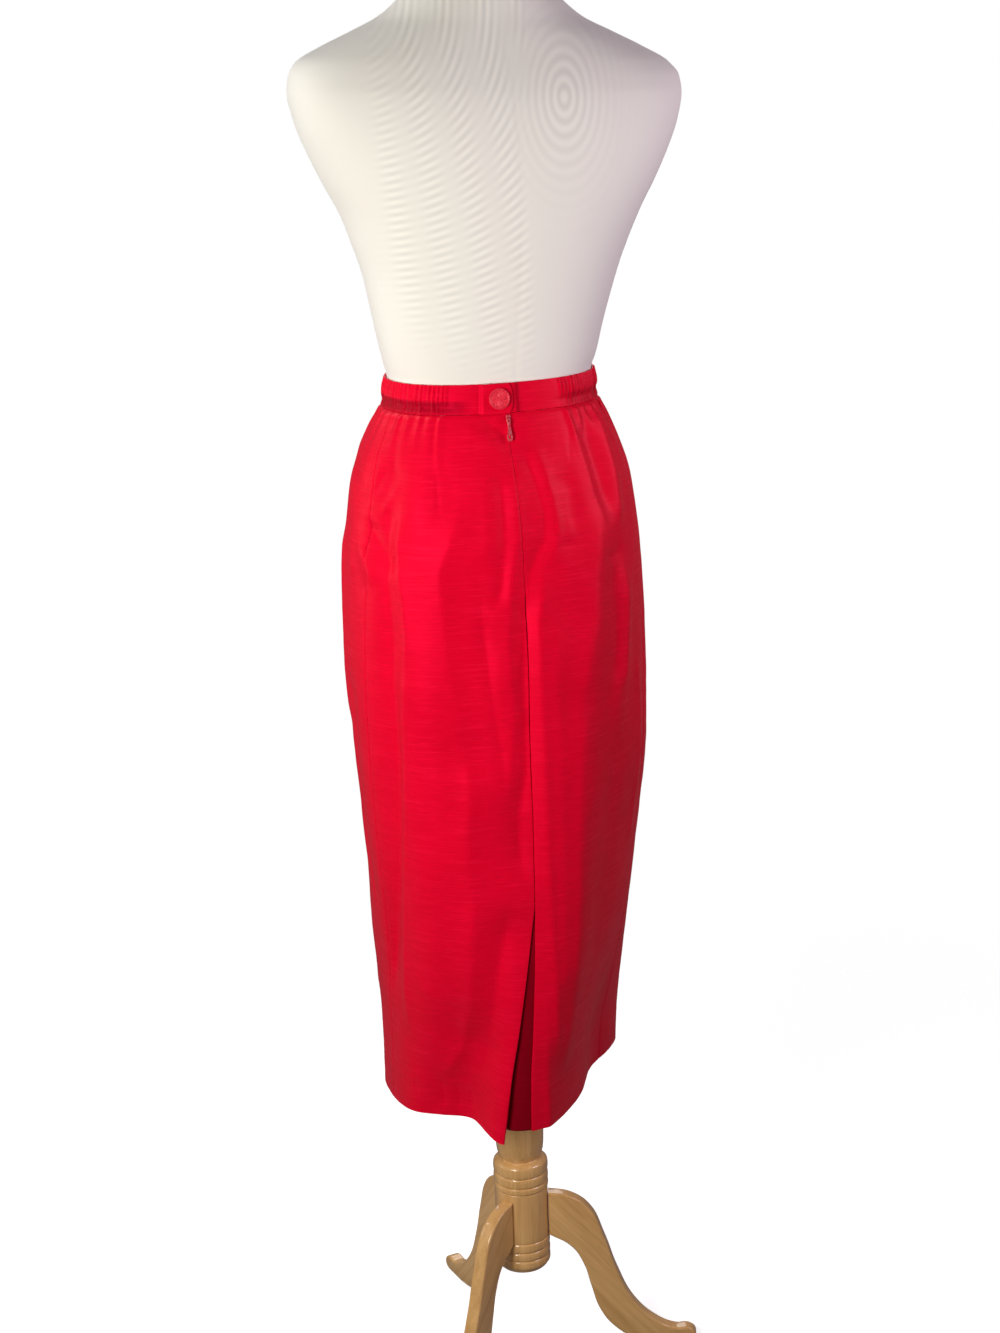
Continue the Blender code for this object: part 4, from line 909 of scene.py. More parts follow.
def row_tree(name, material, tooth):
    """A node tree that sets small copies along a path: thread stitches, or a zip's teeth."""
    tree = bpy.data.node_groups.new(name, "GeometryNodeTree")
    tree.is_modifier = True
    tree.interface.new_socket(name="Geometry", in_out="INPUT", socket_type="NodeSocketGeometry")
    tree.interface.new_socket(name="Geometry", in_out="OUTPUT", socket_type="NodeSocketGeometry")
    names = {
        "pitch": input_socket(tree, "Pitch", "NodeSocketFloat", 0.003),
        "size": input_socket(tree, "Size", "NodeSocketVector", (0.001, 0.0003, 0.0003)),
        "uneven": input_socket(tree, "Unevenness", "NodeSocketFloat", 0.1),
        "seed": input_socket(tree, "Seed", "NodeSocketInt", 5),
    }
    start = tree.nodes.new("NodeGroupInput")
    line = add(tree, "GeometryNodeMeshToCurve", inputs={"Mesh": start.outputs["Geometry"]})
    spaced = add(
        tree, "GeometryNodeResampleCurve", mode="LENGTH",
        inputs={"Curve": line.outputs["Curve"], "Length": start.outputs["Pitch"]},
    )
    out = add(tree, "GeometryNodeInputNamedAttribute", data_type="FLOAT_VECTOR", inputs={"Name": "out"})
    tangent = tree.nodes.new("GeometryNodeInputTangent")
    along = add(
        tree, "FunctionNodeAlignRotationToVector", axis="X", inputs={"Vector": tangent.outputs["Tangent"]}
    )
    facing = add(
        tree, "FunctionNodeAlignRotationToVector", axis="Z", pivot_axis="X",
        inputs={"Rotation": along.outputs["Rotation"], "Vector": out.outputs["Attribute"]},
    )
    if tooth:
        shape = add(tree, "GeometryNodeMeshCube", inputs={"Size": (1.0, 1.0, 1.0)}).outputs["Mesh"]
    else:
        ball = add(tree, "GeometryNodeMeshUVSphere", inputs={"Segments": 6, "Rings": 4, "Radius": 0.5})
        turned = {"Geometry": ball.outputs["Mesh"], "Rotation": (0.0, pi / 2, 0.0)}
        shape = add(tree, "GeometryNodeTransform", inputs=turned).outputs["Geometry"]
    random = add(tree, "FunctionNodeRandomValue", data_type="FLOAT", inputs={"Seed": start.outputs["Seed"]})
    tree.links.new(maths(tree, "SUBTRACT", 1.0, start.outputs["Unevenness"]), random.inputs[2])
    random.inputs[3].default_value = 1.0
    size = add(
        tree, "ShaderNodeVectorMath", operation="SCALE",
        inputs={0: start.outputs["Size"], "Scale": random.outputs[1]},
    )
    copies = add(
        tree, "GeometryNodeInstanceOnPoints",
        inputs={
            "Points": spaced.outputs["Curve"], "Instance": shape,
            "Rotation": facing.outputs["Rotation"], "Scale": size.outputs["Vector"],
        },
    )
    real = add(tree, "GeometryNodeRealizeInstances", inputs={"Geometry": copies.outputs["Instances"]})
    smooth = add(tree, "GeometryNodeSetShadeSmooth", inputs={"Geometry": real.outputs["Geometry"]})
    finished = add(
        tree, "GeometryNodeSetMaterial", inputs={"Geometry": smooth.outputs["Geometry"], "Material": material}
    )
    end = tree.nodes.new("NodeGroupOutput")
    tree.links.new(finished.outputs["Geometry"], end.inputs["Geometry"])
    return tree, names


def row_along(name, paths, pitch, size, material, tooth=False, uneven=0.1):
    """One mesh of copies along these paths, each a pair of points and outward directions."""
    points, outs, edges = [], [], []
    for path, directions in paths:
        first = len(points)
        points += list(map(tuple, path))
        outs += list(map(tuple, directions))
        edges += [(first + k, first + k + 1) for k in range(len(path) - 1)]
    mesh = bpy.data.meshes.new(name + "_path")
    mesh.from_pydata(points, edges, [])
    guide = linked(name + "_path", mesh)
    set_attribute(guide, "out", np.array(outs))
    tree, names = row_tree(name + "_row", material, tooth)
    rows = guide.modifiers.new("row", "NODES")
    rows.node_group = tree
    for key, value in (("pitch", pitch), ("size", size), ("uneven", uneven), ("seed", 7)):
        rows[names[key]] = value
    bpy.context.view_layer.update()
    evaluated = guide.evaluated_get(bpy.context.evaluated_depsgraph_get())
    result = bpy.data.meshes.new_from_object(evaluated)
    guide.modifiers.remove(rows)
    bpy.data.objects.remove(guide, do_unlink=True)
    if not result.polygons:
        raise RuntimeError(f"{name}: the row came out empty")
    result.name = name
    return linked(name, result)


# ---------------------------------------------------------------- the skirt


def fine_columns(start, end, count):
    """Angles across a panel, closer together by its seams."""
    inner = np.linspace(start, end, count)
    near = [0.3, 0.8, 1.4]
    extra = [start + step for step in near] + [end - step for step in near]
    inner = inner[(inner > start + 1.7) & (inner < end - 1.7)]
    return np.array(sorted({start, end, *extra, *inner.tolist()}))


def fine_heights(spacing):
    top = BAND_BOTTOM - SEAM_GAP
    drops = [0, 0.0007, 0.0015, 0.0025, 0.004, 0.0055, 0.007, 0.009, 0.011, 0.013]
    upper = [top - drop for drop in drops]
    lower = np.arange(upper[-1] - spacing, HEM_HEIGHT + 0.004, -spacing)
    foot = [HEM_HEIGHT + rise for rise in (0.003, 0.0012, 0.0005, 0.0)]
    return np.array([*upper, *lower, *foot])


def closed_at_seams(angles, height, left=True, right=True):
    """The first and last columns, drawn in by half a seam's gap."""
    shift = np.degrees(SEAM_GAP / 2 / read_table(SKIRT_TABLE, Ring, height[:, 0]).back)
    angles = angles.copy()
    if left:
        angles[:, 0] += shift
    if right:
        angles[:, -1] -= shift
    return angles


def seam_roll(angles, depth=0.0004, width=0.0014):
    """How far the cloth sinks beside the seams at both sides of a panel."""
    from_left = np.radians(angles - angles[:, :1]) * SEAM_RADIUS
    from_right = np.radians(angles[:, -1:] - angles) * SEAM_RADIUS
    return -depth * (np.exp(-((from_left / width) ** 2)) + np.exp(-((from_right / width) ** 2)))


def facing_lift(angles, height, hem_depth):
    """How much thicker the piece is inside, where the hem and the seams are turned in."""
    extra = 0.0007 * ease((HEM_HEIGHT + hem_depth - height) / 0.003)
    below = ease((1.150 - height) / 0.02)
    for distance in (angles - angles[:, :1], angles[:, -1:] - angles):
        extra = extra + 0.0005 * below * ease((0.014 - np.radians(distance) * SEAM_RADIUS) / 0.003)
    return extra - 0.0006 * np.exp(-(((BAND_BOTTOM - height) / 0.003) ** 2))


def hem_print(height, hem_depth):
    """The faint line that the hem's turned edge presses into the cloth."""
    return 0.00025 * np.exp(-(((height - HEM_HEIGHT - hem_depth) / 0.0022) ** 2))


def flap_edge(height):
    share = (VENT_TOP - height) / (VENT_TOP - HEM_HEIGHT)
    return FLAP_SWING * np.maximum(share, 0.0)


def hung(cloth_angle, height, flap=False):
    """Heights moved so that the lowest follow the hem's line, which droops to the flap's corner."""
    change = HEM_TILT * np.sin(np.radians(cloth_angle)) ** 3
    if flap:
        share = (cloth_angle - FLAP_DROOP_START) / (FLAP_SWING - FLAP_DROOP_START)
        change = change - FLAP_DROOP * ease(share)
    return height + change * ease((VENT_TOP - height) / (VENT_TOP - HEM_HEIGHT))


def panel_shell(name, angles, height, level, settings):
    """A panel's shell. level is the height before the hem's line moves it."""
    lift = seam_roll(angles) + hem_print(level, settings.hem_depth)
    lift = lift - 0.0016 * np.exp(-(((BAND_BOTTOM - height) / 0.0026) ** 2))
    outer = skirt_points(angles, height, lift, settings.crease_share)
    inner = facing_lift(angles, level, settings.hem_depth)
    return cloth_shell(name, outer, settings.wall, finish_of("cloth"), inner)


def back_left_grid():
    height, angles = np.meshgrid(fine_heights(0.003), -fine_columns(0.0, SIDE_SEAM, 76)[::-1], indexing="ij")
    start = -SIDE_SEAM
    angles = start + (angles - start) * (start - flap_edge(height)) / start
    angles = closed_at_seams(angles, height)
    return angles, hung(angles, height, flap=True), height


def back_right_grid():
    height, angles = np.meshgrid(fine_heights(0.003), fine_columns(0.0, SIDE_SEAM, 76), indexing="ij")
    angles = closed_at_seams(angles, height)
    return angles, hung(angles, height), height


def front_grid():
    columns = fine_columns(SIDE_SEAM, 360 - SIDE_SEAM, 150)
    height, angles = np.meshgrid(fine_heights(0.004), columns, indexing="ij")
    angles = closed_at_seams(angles, height)
    return angles, hung(angles, height), height


def vent_underlap(settings):
    """The strip behind the vent's opening, seated behind the right panel's edge."""
    rows = np.linspace(VENT_LAP_TOP, HEM_HEIGHT, 96)
    columns = np.linspace(VENT_LAP_TUCK - VENT_LAP_WIDTH, VENT_LAP_TUCK, 24)
    height, angles = np.meshgrid(rows, columns, indexing="ij")
    opened = ease((VENT_TOP - height) / (VENT_TOP - HEM_HEIGHT))
    away = np.maximum(-angles, 0.0) / (VENT_LAP_WIDTH - VENT_LAP_TUCK)
    lift = -VENT_LAP_RECESS - 0.0010 - VENT_LAP_SLANT * away * opened + hem_print(height, settings.hem_depth)
    outer = skirt_points(angles, height, lift, settings.crease_share)
    inner = 0.0007 * ease((HEM_HEIGHT + settings.hem_depth - height) / 0.003)
    # the underlap takes the cloth painted darker, as painted shade where the flap shadows it
    return cloth_shell("vent_underlap_cloth", outer, settings.wall, finish_of("cloth_painted_shade"), inner)


def dress(made, node):
    """Stands the piece for its solid, on the body that carries it."""
    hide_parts(node)
    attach(made, PULL if node == "zip_pull_tab" else WORN)


class SKIRT_OT_panels(bpy.types.Operator):
    """Hang the skirt's three panels and the underlap of its vent."""

    bl_idname = "skirt.panels"
    bl_label = "Skirt panels"

    def execute(self, context):
        settings = context.scene.skirt_cloth
        made = {
            "skirt_back_left": panel_shell("back_left_panel", *back_left_grid(), settings),
            "skirt_back_right": panel_shell("back_right_panel", *back_right_grid(), settings),
            "skirt_front": panel_shell("front_panel", *front_grid(), settings),
            "skirt_vent_underlap": vent_underlap(settings),
        }
        for node, piece in made.items():
            dress(piece, node)
        return {"FINISHED"}


# ---------------------------------------------------------------- the waistband


def tab_lift(angle):
    return TAB_LIFT * ease((angle - TAB_RISE_START) / (TAB_RISE_END - TAB_RISE_START))


def band_shares():
    edge = np.array([0.0, 0.02, 0.05])
    return np.concatenate([1 - edge, np.linspace(0.92, 0.08, 20), edge[::-1]])


def paint_band_shade(made):
    """Paints shade on the waistband's lower part, darkest where the elastic packs the cloth at the left back
    and less at the right and the front, and a painted shadow where the tab overhangs the right band.
    """
    points = vertex_array(made)
    turn = np.degrees(np.arctan2(points[:, 0] - POST_X, POST_Y - points[:, 1])) + 3.3
    share = (points[:, 2] - BAND_BOTTOM) / BAND_HEIGHT
    left = ease((-24 - turn) / 12) * ease((115 + turn) / 20)
    right = 0.55 * ease((turn - 32) / 12)
    front = 0.5 * (np.abs(turn) > 90)
    low = ease((0.50 - share) / 0.10) * (0.65 + 0.35 * ease((share - 0.02) / 0.12))
    packed = np.maximum(np.maximum(left, right), front) * low
    # on the right band, a painted shadow beside the tab's end
    if made.name == "waistband_right":
        packed = np.maximum(packed, np.exp(-(((turn - 4.5) / 1.6) ** 2)))
    layer = made.data.attributes.new("packed", "FLOAT", "POINT")
    layer.data.foreach_set("value", packed.astype(np.float32))


def band_shell(name, shares, angles, lift, settings, left=True, right=True):
    height = BAND_BOTTOM + BAND_HEIGHT * shares
    angles = closed_at_seams(angles, height, left, right)
    roll = np.zeros_like(angles)
    if left:
        roll = roll - 0.0006 * np.exp(-((np.radians(angles - angles[:, :1]) * WAIST_RADIUS / 0.0012) ** 2))
    if right:
        roll = roll - 0.0006 * np.exp(-((np.radians(angles[:, -1:] - angles) * WAIST_RADIUS / 0.0012) ** 2))
    outer = band_points(angles, height, lift + roll)
    thinner = -0.0011 * np.exp(-(((shares - 0.24) / 0.17) ** 2))
    made = cloth_shell(name, outer, settings.wall + 0.0002, finish_of("cloth"), thinner, edge=0.0004)
    # paints the band's shade and the tab's shadow into its colour
    paint_band_shade(made)
    return made


def band_grid(start, end, columns):
    """Shares of the height, and angles, over a stretch of the waistband."""
    return np.meshgrid(band_shares(), np.linspace(start, end, columns), indexing="ij")


def stitch_line(start, end, count=260, on_tab=False):
    """Points and outward directions of a line of stitches along the waistband."""
    angles = np.linspace(start, end, count)
    height = np.full(count, BAND_BOTTOM + BAND_HEIGHT * STITCH_SHARE)
    lift, lift_ahead = (tab_lift(angles), tab_lift(angles + 0.2)) if on_tab else (0.0, 0.0)
    here = band_points(angles, height, lift)
    above = band_points(angles, height + 0.001, lift)
    ahead = band_points(angles + 0.2, height, lift_ahead)
    return here, unit(np.cross(ahead - here, above - here))


class SKIRT_OT_waistband(bpy.types.Operator):
    """Fit the elasticated waistband, with its lapped tab and its line of stitches."""

    bl_idname = "skirt.waistband"
    bl_label = "Waistband"

    def execute(self, context):
        settings = context.scene.skirt_cloth
        shares, angles = band_grid(-SIDE_SEAM, 0.0, 200)
        end = TAB_END - TAB_ROUNDING * np.abs(2 * shares - 1) ** 3
        angles = -SIDE_SEAM + (angles + SIDE_SEAM) * (end + SIDE_SEAM) / SIDE_SEAM
        left = band_shell("waistband_left", shares, angles, tab_lift(angles), settings, right=False)
        shares, angles = band_grid(UNDERLAP_END, SIDE_SEAM, 210)
        right = band_shell("waistband_right", shares, angles, 0.0, settings, left=False)
        shares, angles = band_grid(SIDE_SEAM, 360 - SIDE_SEAM, 460)
        front = band_shell("waistband_front_cloth", shares, angles, 0.0, settings)
        made = {"waistband_back_left": left, "waistband_back_right": right, "waistband_front": front}
        for (node, piece), width in zip(made.items(), (0.175, 0.185, 0.440)):
            dress(piece, node)
        length, thick = settings.stitch_length, STITCH_THICKNESS
        rows = [
            stitch_line(-SIDE_SEAM + 0.5, 2.6, on_tab=True), stitch_line(4.4, SIDE_SEAM - 0.5),
            stitch_line(SIDE_SEAM + 0.5, 360 - SIDE_SEAM - 0.5, 600),
        ]
        stitches = row_along(
            "waistband_stitches", rows, length * STITCH_STEP, (length, thick, thick), finish_of("thread"),
            uneven=0.15,
        )
        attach(stitches, WORN)
        return {"FINISHED"}


# ---------------------------------------------------------------- button and zip


def button_piece(settings):
    """A round button with a raised rim and a dish of fine rays."""
    radius, top, dish, rim = settings.button_radius, 0.0034, 0.0024, 0.0019
    inner = radius - rim
    over_rim = np.array([0.0, 0.12, 0.28, 0.45, 0.6, 0.75, 0.88, 0.96, 1.0])
    under = np.array([1.0, 0.98, 0.93, 0.86, 0.6])
    across = np.concatenate([np.linspace(0.0002, inner * 0.92, 26), inner + rim * over_rim, radius * under])
    rise = [dish] * 26
    rise += [dish + 0.0002, dish + 0.0005, top - 0.0002, top, top]
    rise += [top - 0.0002, top - 0.0005, top - 0.0010, top - 0.0016]
    rise += [0.0014, 0.0008, 0.0005, 0.0003, 0.0]
    profile = [(0.0, dish + 0.0004), *zip(across, rise), (0.0, 0.0)]
    matrix = frame_on_cloth(band_points, BUTTON_ANGLE, BUTTON_HEIGHT, TAB_LIFT + BUTTON_LIFT)
    made = turned_solid("button", profile, 96, finish_of("button"))
    points = vertex_array(made)
    out = np.hypot(points[:, 0], points[:, 1])
    turn = np.arctan2(points[:, 1], points[:, 0])
    in_dish = points[:, 2] > dish - 0.0001
    window = ease(out / (0.25 * inner)) * ease((inner * 0.90 - out) / (0.12 * inner)) * in_dish
    petals = np.cos(12 * turn + 3 * np.sin(out / inner * 4)) * 0.00024
    dome = 0.0005 * np.exp(-((out / (0.3 * inner)) ** 2)) * in_dish
    points[:, 2] += window * petals + dome * (out > 0.0001)
    made.data.vertices.foreach_set("co", points.astype(np.float32).ravel())
    made.data.transform(matrix)
    return made


def zip_tape_cloth(creases):
    heights = np.linspace(ZIP_TAPE_TOP, ZIP_TAPE_TOP - ZIP_LENGTH, 90)
    half = np.degrees(ZIP_TAPE_WIDTH / 2 / read_table(SKIRT_TABLE, Ring, heights).back)
    angles = half[:, None] * np.linspace(-1, 1, 18)
    recess = ZIP_TAPE_RECESS + 0.0006 * ease((1.150 - heights[:, None]) / 0.02) - 0.0004
    outer = skirt_points(angles, heights[:, None], -recess, creases)
    return cloth_shell("zip_tape_cloth", outer, 0.0005, finish_of("cloth"), edge=0.0002)


def zip_teeth(settings, creases):
    """Two rows of moulded teeth that mesh along the middle of the tape, on its inner face."""
    rows = []
    for side in (-1, 1):
        top = ZIP_TAPE_TOP - 0.0200 - side * settings.tooth_pitch / 4
        heights = np.linspace(top, ZIP_TAPE_TOP - ZIP_LENGTH + 0.004, 60)
        angles = side * np.degrees(0.0007 / read_table(SKIRT_TABLE, Ring, heights).back)
        here = skirt_points(angles, heights, -ZIP_TAPE_RECESS - 0.0011, creases)
        across = skirt_points(angles + 0.2, heights, -ZIP_TAPE_RECESS - 0.0011, creases) - here
        down = np.gradient(here, axis=0)
        rows.append((here, unit(np.cross(down, across))))
    size = (settings.tooth_pitch * 0.5, 0.0023, 0.0009)
    return row_along("zip_teeth", rows, settings.tooth_pitch, size, finish_of("zip"), tooth=True, uneven=0.0)


def zip_hinge():
    return frame_on_cloth(lambda a, h: skirt_points(a, h, 0.0, 0.0), 0.0, ZIP_HEIGHT, PULL_LIFT)


def zip_slider(hinge):
    """A rounded slider with the bail that carries the pull tab."""
    body = bmesh.new()
    centre = Matrix.Translation((0.0, 0.0, 0.0003 + 0.0008 - PULL_LIFT))
    bmesh.ops.create_cube(body, size=1.0, matrix=centre @ Matrix.Diagonal((0.0048, 0.0090, 0.0016, 1.0)))
    for vertex in body.verts:
        if vertex.co.y < 0:
            vertex.co.x *= 0.74
    bmesh.ops.bevel(body, geom=list(body.edges), offset=0.0006, segments=4, affect="EDGES", profile=0.6)
    steps = [pi * k / 20 for k in range(21)]
    foot = -PULL_LIFT + 0.0011
    reach, wire = 0.0016, 0.00045
    arch = [(0.0, reach * cos(a), reach * sin(a)) for a in steps]
    path = [(0.0, reach, foot), (0.0, reach, foot * 0.4), *arch]
    path += [(0.0, -reach, foot * 0.4), (0.0, -reach, foot)]
    turns = np.linspace(0, 2 * pi, 10, endpoint=False)
    rings = []
    for index, point in enumerate(path):
        before, after = path[max(index - 1, 0)], path[min(index + 1, len(path) - 1)]
        tangent = (Vector(after) - Vector(before)).normalized()
        side = Vector((1.0, 0.0, 0.0))
        other = tangent.cross(side)
        rings.append([body.verts.new(Vector(point) + wire * (side * cos(t) + other * sin(t))) for t in turns])
    for first, second in zip(rings, rings[1:]):
        for k in range(10):
            body.faces.new((first[k], second[k], second[(k + 1) % 10], first[(k + 1) % 10]))
    body.faces.new(rings[0])
    body.faces.new(list(reversed(rings[-1])))
    bmesh.ops.recalc_face_normals(body, faces=body.faces)
    mesh = bpy.data.meshes.new("zip_slider_metal")
    body.to_mesh(mesh)
    body.free()
    mesh.shade_smooth()
    mesh.set_sharp_from_angle(angle=radians(50))
    mesh.materials.append(finish_of("zip"))
    made = linked("zip_slider_metal", mesh)
    made.data.transform(hinge)
    return made


def zip_pull(hinge):
    """A flat teardrop tab that hangs from its top bar."""
    top, end, bar = 0.0017, 0.0028, 0.0005
    side = [(top, -bar, True), (top, 0.0030, False), (0.8 * top, 0.0080, False), (0.8 * end, 0.0150, False)]
    side += [(end, PULL_LENGTH - end, False)]
    side += [(end * cos(pi / 4), PULL_LENGTH - end * (1 - sin(pi / 4)), False)]
    outline = side + [(0.0, PULL_LENGTH, False)] + [(-x, down, corner) for x, down, corner in reversed(side)]
    hole = [(0.0008, bar, True), (0.0008, 0.0025, True), (-0.0008, 0.0025, True), (-0.0008, bar, True)]
    turns = np.linspace(0, 2 * pi, 8, endpoint=False)
    eye = [(0.0012 * sin(t), 0.0200 + 0.0018 * cos(t), False) for t in turns]
    hanging = [[(x, -down, corner) for x, down, corner in loop] for loop in (outline, hole, eye)]
    matrix = hinge @ Matrix.Rotation(radians(PULL_REST_TILT), 4, "X")
    return flat_plate("zip_pull_metal", hanging, 0.0010, 0.00022, finish_of("zip"), matrix, smooth=6, rings=2)


class SKIRT_OT_fasteners(bpy.types.Operator):
    """Sew on the button and fit the zip: tape, teeth, slider and pull tab."""

    bl_idname = "skirt.fasteners"
    bl_label = "Button and zip"

    def execute(self, context):
        settings = context.scene.skirt_fasteners
        dress(button_piece(settings), "waistband_button")
        creases = context.scene.skirt_cloth.crease_share
        tape = zip_tape_cloth(creases)
        dress(tape, "zip_tape")
        teeth = zip_teeth(settings, creases)
        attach(teeth, WORN)
        hinge = zip_hinge()
        dress(zip_slider(hinge), "zip_slider")
        dress(zip_pull(hinge), "zip_pull_tab")
        return {"FINISHED"}


# ---------------------------------------------------------------- the form and its stand


def torso_piece():
    """The jersey-covered form, with the sunk seam down the middle of its back and front."""
    heights = np.unique(np.concatenate([
        np.linspace(0.925, 0.937, 5), np.arange(0.942, 1.500, 0.006),
        np.arange(1.500, 1.640, 0.0035), np.linspace(1.640, 1.700, 12),
    ]))
    segments = 180
    angles = np.linspace(0, 360, segments, endpoint=False)
    rings = []
    for height in heights:
        ring = read_table(TORSO_TABLE, Torso, np.full(segments, height))
        across, toward = np.sin(np.radians(angles)), np.cos(np.radians(angles))
        depth = np.where(toward > 0, ring.back, ring.front)
        reach = oval(across, toward, ring.half_width, depth, ring.power)
        seam = 0.0006 * np.exp(-((wrapped(angles - SEAM_OF_FORM) / 1.1) ** 2))
        seam = seam + 0.0006 * np.exp(-((wrapped(angles - 180) / 1.1) ** 2))
        fade = 1 - ease((height - 1.56) / 0.04)
        reach = reach - seam * fade
        tilt = SHOULDER_TILT * ease((height - TILT_START) / (TILT_FULL - TILT_START))
        rings.append(place(ring.centre, angles, reach, height - tilt * reach * across))
    neck = rings[-1]
    middle = neck.mean(axis=0)
    away = neck - middle
    for turn in np.linspace(15, 90, 6):
        drawn = NECK_TOP_ROUNDING * (1 - cos(radians(turn)))
        ring = middle + away * (1 - drawn / np.linalg.norm(away[:, :2], axis=1, keepdims=True))
        ring[:, 2] = neck[:, 2] + NECK_TOP_ROUNDING * sin(radians(turn))
        rings.append(ring)
    for share in (0.85, 0.5, 0.2):
        rings.append(middle + (rings[len(heights) + 5] - middle) * np.array([share, share, 1.0]))
    lower = rings[0]
    base = lower.mean(axis=0)
    under = [base + (lower - base) * np.array([share, share, 1.0]) for share in (0.15, 0.5, 0.8, 0.96)]
    rings = under + rings
    points = np.array(rings)
    steps = np.linalg.norm(np.roll(points, -1, axis=1) - points, axis=-1)
    run = np.concatenate([np.zeros((len(points), 1)), np.cumsum(steps, axis=1)], axis=1)
    run -= run[:, segments // 2 : segments // 2 + 1]
    rise = np.concatenate([[0], np.cumsum(np.linalg.norm(np.diff(points[:, 45], axis=0), axis=-1))])
    count = len(points)
    faces, corners = [], []
    for level in range(count - 1):
        for k in range(segments):
            following = (k + 1) % segments
            near, far = level * segments, (level + 1) * segments
            faces.append((near + k, near + following, far + following, far + k))
            corners += [(run[level, k], rise[level]), (run[level, k + 1], rise[level])]
            corners += [(run[level + 1, k + 1], rise[level + 1]), (run[level + 1, k], rise[level + 1])]
    flat = points.reshape(-1, 3)
    bottom, top = len(flat), len(flat) + 1
    flat = np.concatenate([flat, [points[0].mean(axis=0), points[-1].mean(axis=0)]])
    last = (count - 1) * segments
    for k in range(segments):
        following = (k + 1) % segments
        faces.append((bottom, following, k))
        faces.append((top, last + k, last + following))
        corners += [(0, 0), (run[0, k + 1], rise[0]), (run[0, k], rise[0])]
        corners += [(0, rise[-1]), (run[-1, k], rise[-1]), (run[-1, k + 1], rise[-1])]
    made = mesh_object("jersey_form", flat, faces, finish_of("jersey"))
    layer = made.data.uv_layers.new(name="grain")
    layer.data.foreach_set("uv", np.array(corners, np.float32).ravel())
    for name, values in zip(("watered_left", "watered_right"), watered_lines(flat)):
        set_attribute(made, name, values)
    return made


def watered_lines(points):
    """Phase and strength of the faint watered lines over the upper back, and again over the chest."""
    x, y, z = points[:, 0] - POST_X, points[:, 1] - POST_Y, points[:, 2]
    across = 0.966 * x - 0.259 * y
    east, north = across + 0.165, 1.635 - z
    reach = (np.abs(east) ** 2.6 + np.abs(north) ** 2.6) ** (1 / 2.6)
    columns = 0.55 + 0.45 * np.cos(2 * pi * (across + 0.10 - 0.12 * (1.45 - z)) / 0.041)
    strength = ease((0.225 - across) / 0.02 - 8.6) * ease((across + 0.125) / 0.03)
    strength = strength * ease((0.44 - north - 0.55 * np.maximum(-across, 0)) / 0.10) * columns
    left = np.stack([-750 * reach, 0.085 * strength, 0 * z], axis=-1)
    oval = np.hypot((across - 0.085) / 0.55, z - 1.515)
    strength = np.exp(-((oval / 0.075) ** 2))
    right = np.stack([430 * oval, 0.075 * strength, 0 * z], axis=-1)
    return left, right


def bead_profile(ends):
    """Rounded beads between the grooves at these heights, from the top down."""
    found = []
    for top, bottom in zip(ends, ends[1:]):
        for s in np.linspace(-1, 1, 15)[:-1]:
            round_share = (1 - abs(s) ** 2.6) ** 0.5
            reach = GROOVE_RADIUS + (BEAD_RADIUS - GROOVE_RADIUS) * round_share
            found.append((reach, (top + bottom) / 2 - s * (top - bottom) / 2))
    return [*found, (GROOVE_RADIUS, ends[-1])]


def post_piece():
    """The turned post: a round shaft, a cove, and two sets of beads with the legs' shaft between."""
    upper = bead_profile((0.2510, 0.2363, 0.2235, 0.2148))
    lower = bead_profile((0.1487, 0.1364, 0.1252, 0.1140))
    top = TORSO_BOTTOM - 0.0003
    profile = [(0.0, top), (0.028, top), (0.0295, top - 0.0015)]
    profile += [(0.0295, h) for h in np.linspace(0.90, 0.30, 25)]
    profile += [(0.0294, 0.285), (0.0292, 0.276), (0.0287, 0.270), (0.0280, 0.2645)]
    profile += [(0.0269, 0.2608), (0.0258, 0.2580)]
    profile += [(0.0248, 0.2560), (0.0245, 0.2550), (0.0250, 0.2543), (0.0262, 0.2538)]
    profile += [(0.0285, 0.2531), (0.0303, 0.2522)]
    profile += upper + [(0.0323, 0.2143), (0.0324, 0.2135)]
    profile += [(0.0324, h) for h in np.linspace(0.205, 0.156, 8)] + [(0.0324, 0.1500), (0.0322, 0.1492)]
    profile += lower + [(0.0311, 0.1128), (0.0300, 0.1108), (0.0280, 0.1088)]
    profile += [(0.0250, 0.1072), (0.0225, 0.1065), (0.0, 0.1065)]
    made = turned_solid("wooden_post", profile, 96, finish_of("wood"))
    points = vertex_array(made)
    set_attribute(made, "board", points[:, [2, 0, 1]])
    made.data.transform(Matrix.Translation((POST_X, POST_Y, 0.0)))
    made.data.set_sharp_from_angle(angle=radians(50))
    return made


def leg_piece(number):
    """One flat S-curved leg with rounded edges, its grain running straight from root to toe."""
    angle = LEG_FIRST_ANGLE + (number - 1) * 120
    upright = Matrix.Rotation(radians(angle - 90), 4, "Z") @ Matrix.Rotation(radians(90), 4, "X")
    matrix = Matrix.Translation((POST_X, POST_Y, 0.0)) @ upright
    made = flat_plate(
        f"wooden_leg_{number}", [LEG_OUTLINE], LEG_THICKNESS, 0.0026, finish_of("wood"), matrix,
        smooth=10, rings=4,
    )
    layer = made.data.attributes["board"]
    values = np.zeros(len(made.data.vertices) * 3, np.float32)
    layer.data.foreach_get("vector", values)
    values = values.reshape(-1, 3)
    slant = radians(-47)
    along = values[:, 0] * cos(slant) + values[:, 1] * sin(slant)
    across = -values[:, 0] * sin(slant) + values[:, 1] * cos(slant)
    turned = np.stack([along + 0.7 * number, across, values[:, 2] + 0.05 * number], axis=-1)
    layer.data.foreach_set("vector", turned.astype(np.float32).ravel())
    return made


class SKIRT_OT_form(bpy.types.Operator):
    """Build the jersey-covered form."""

    bl_idname = "skirt.form"
    bl_label = "Dress form"

    def execute(self, context):
        made = torso_piece()
        dress(made, "form_torso")
        return {"FINISHED"}


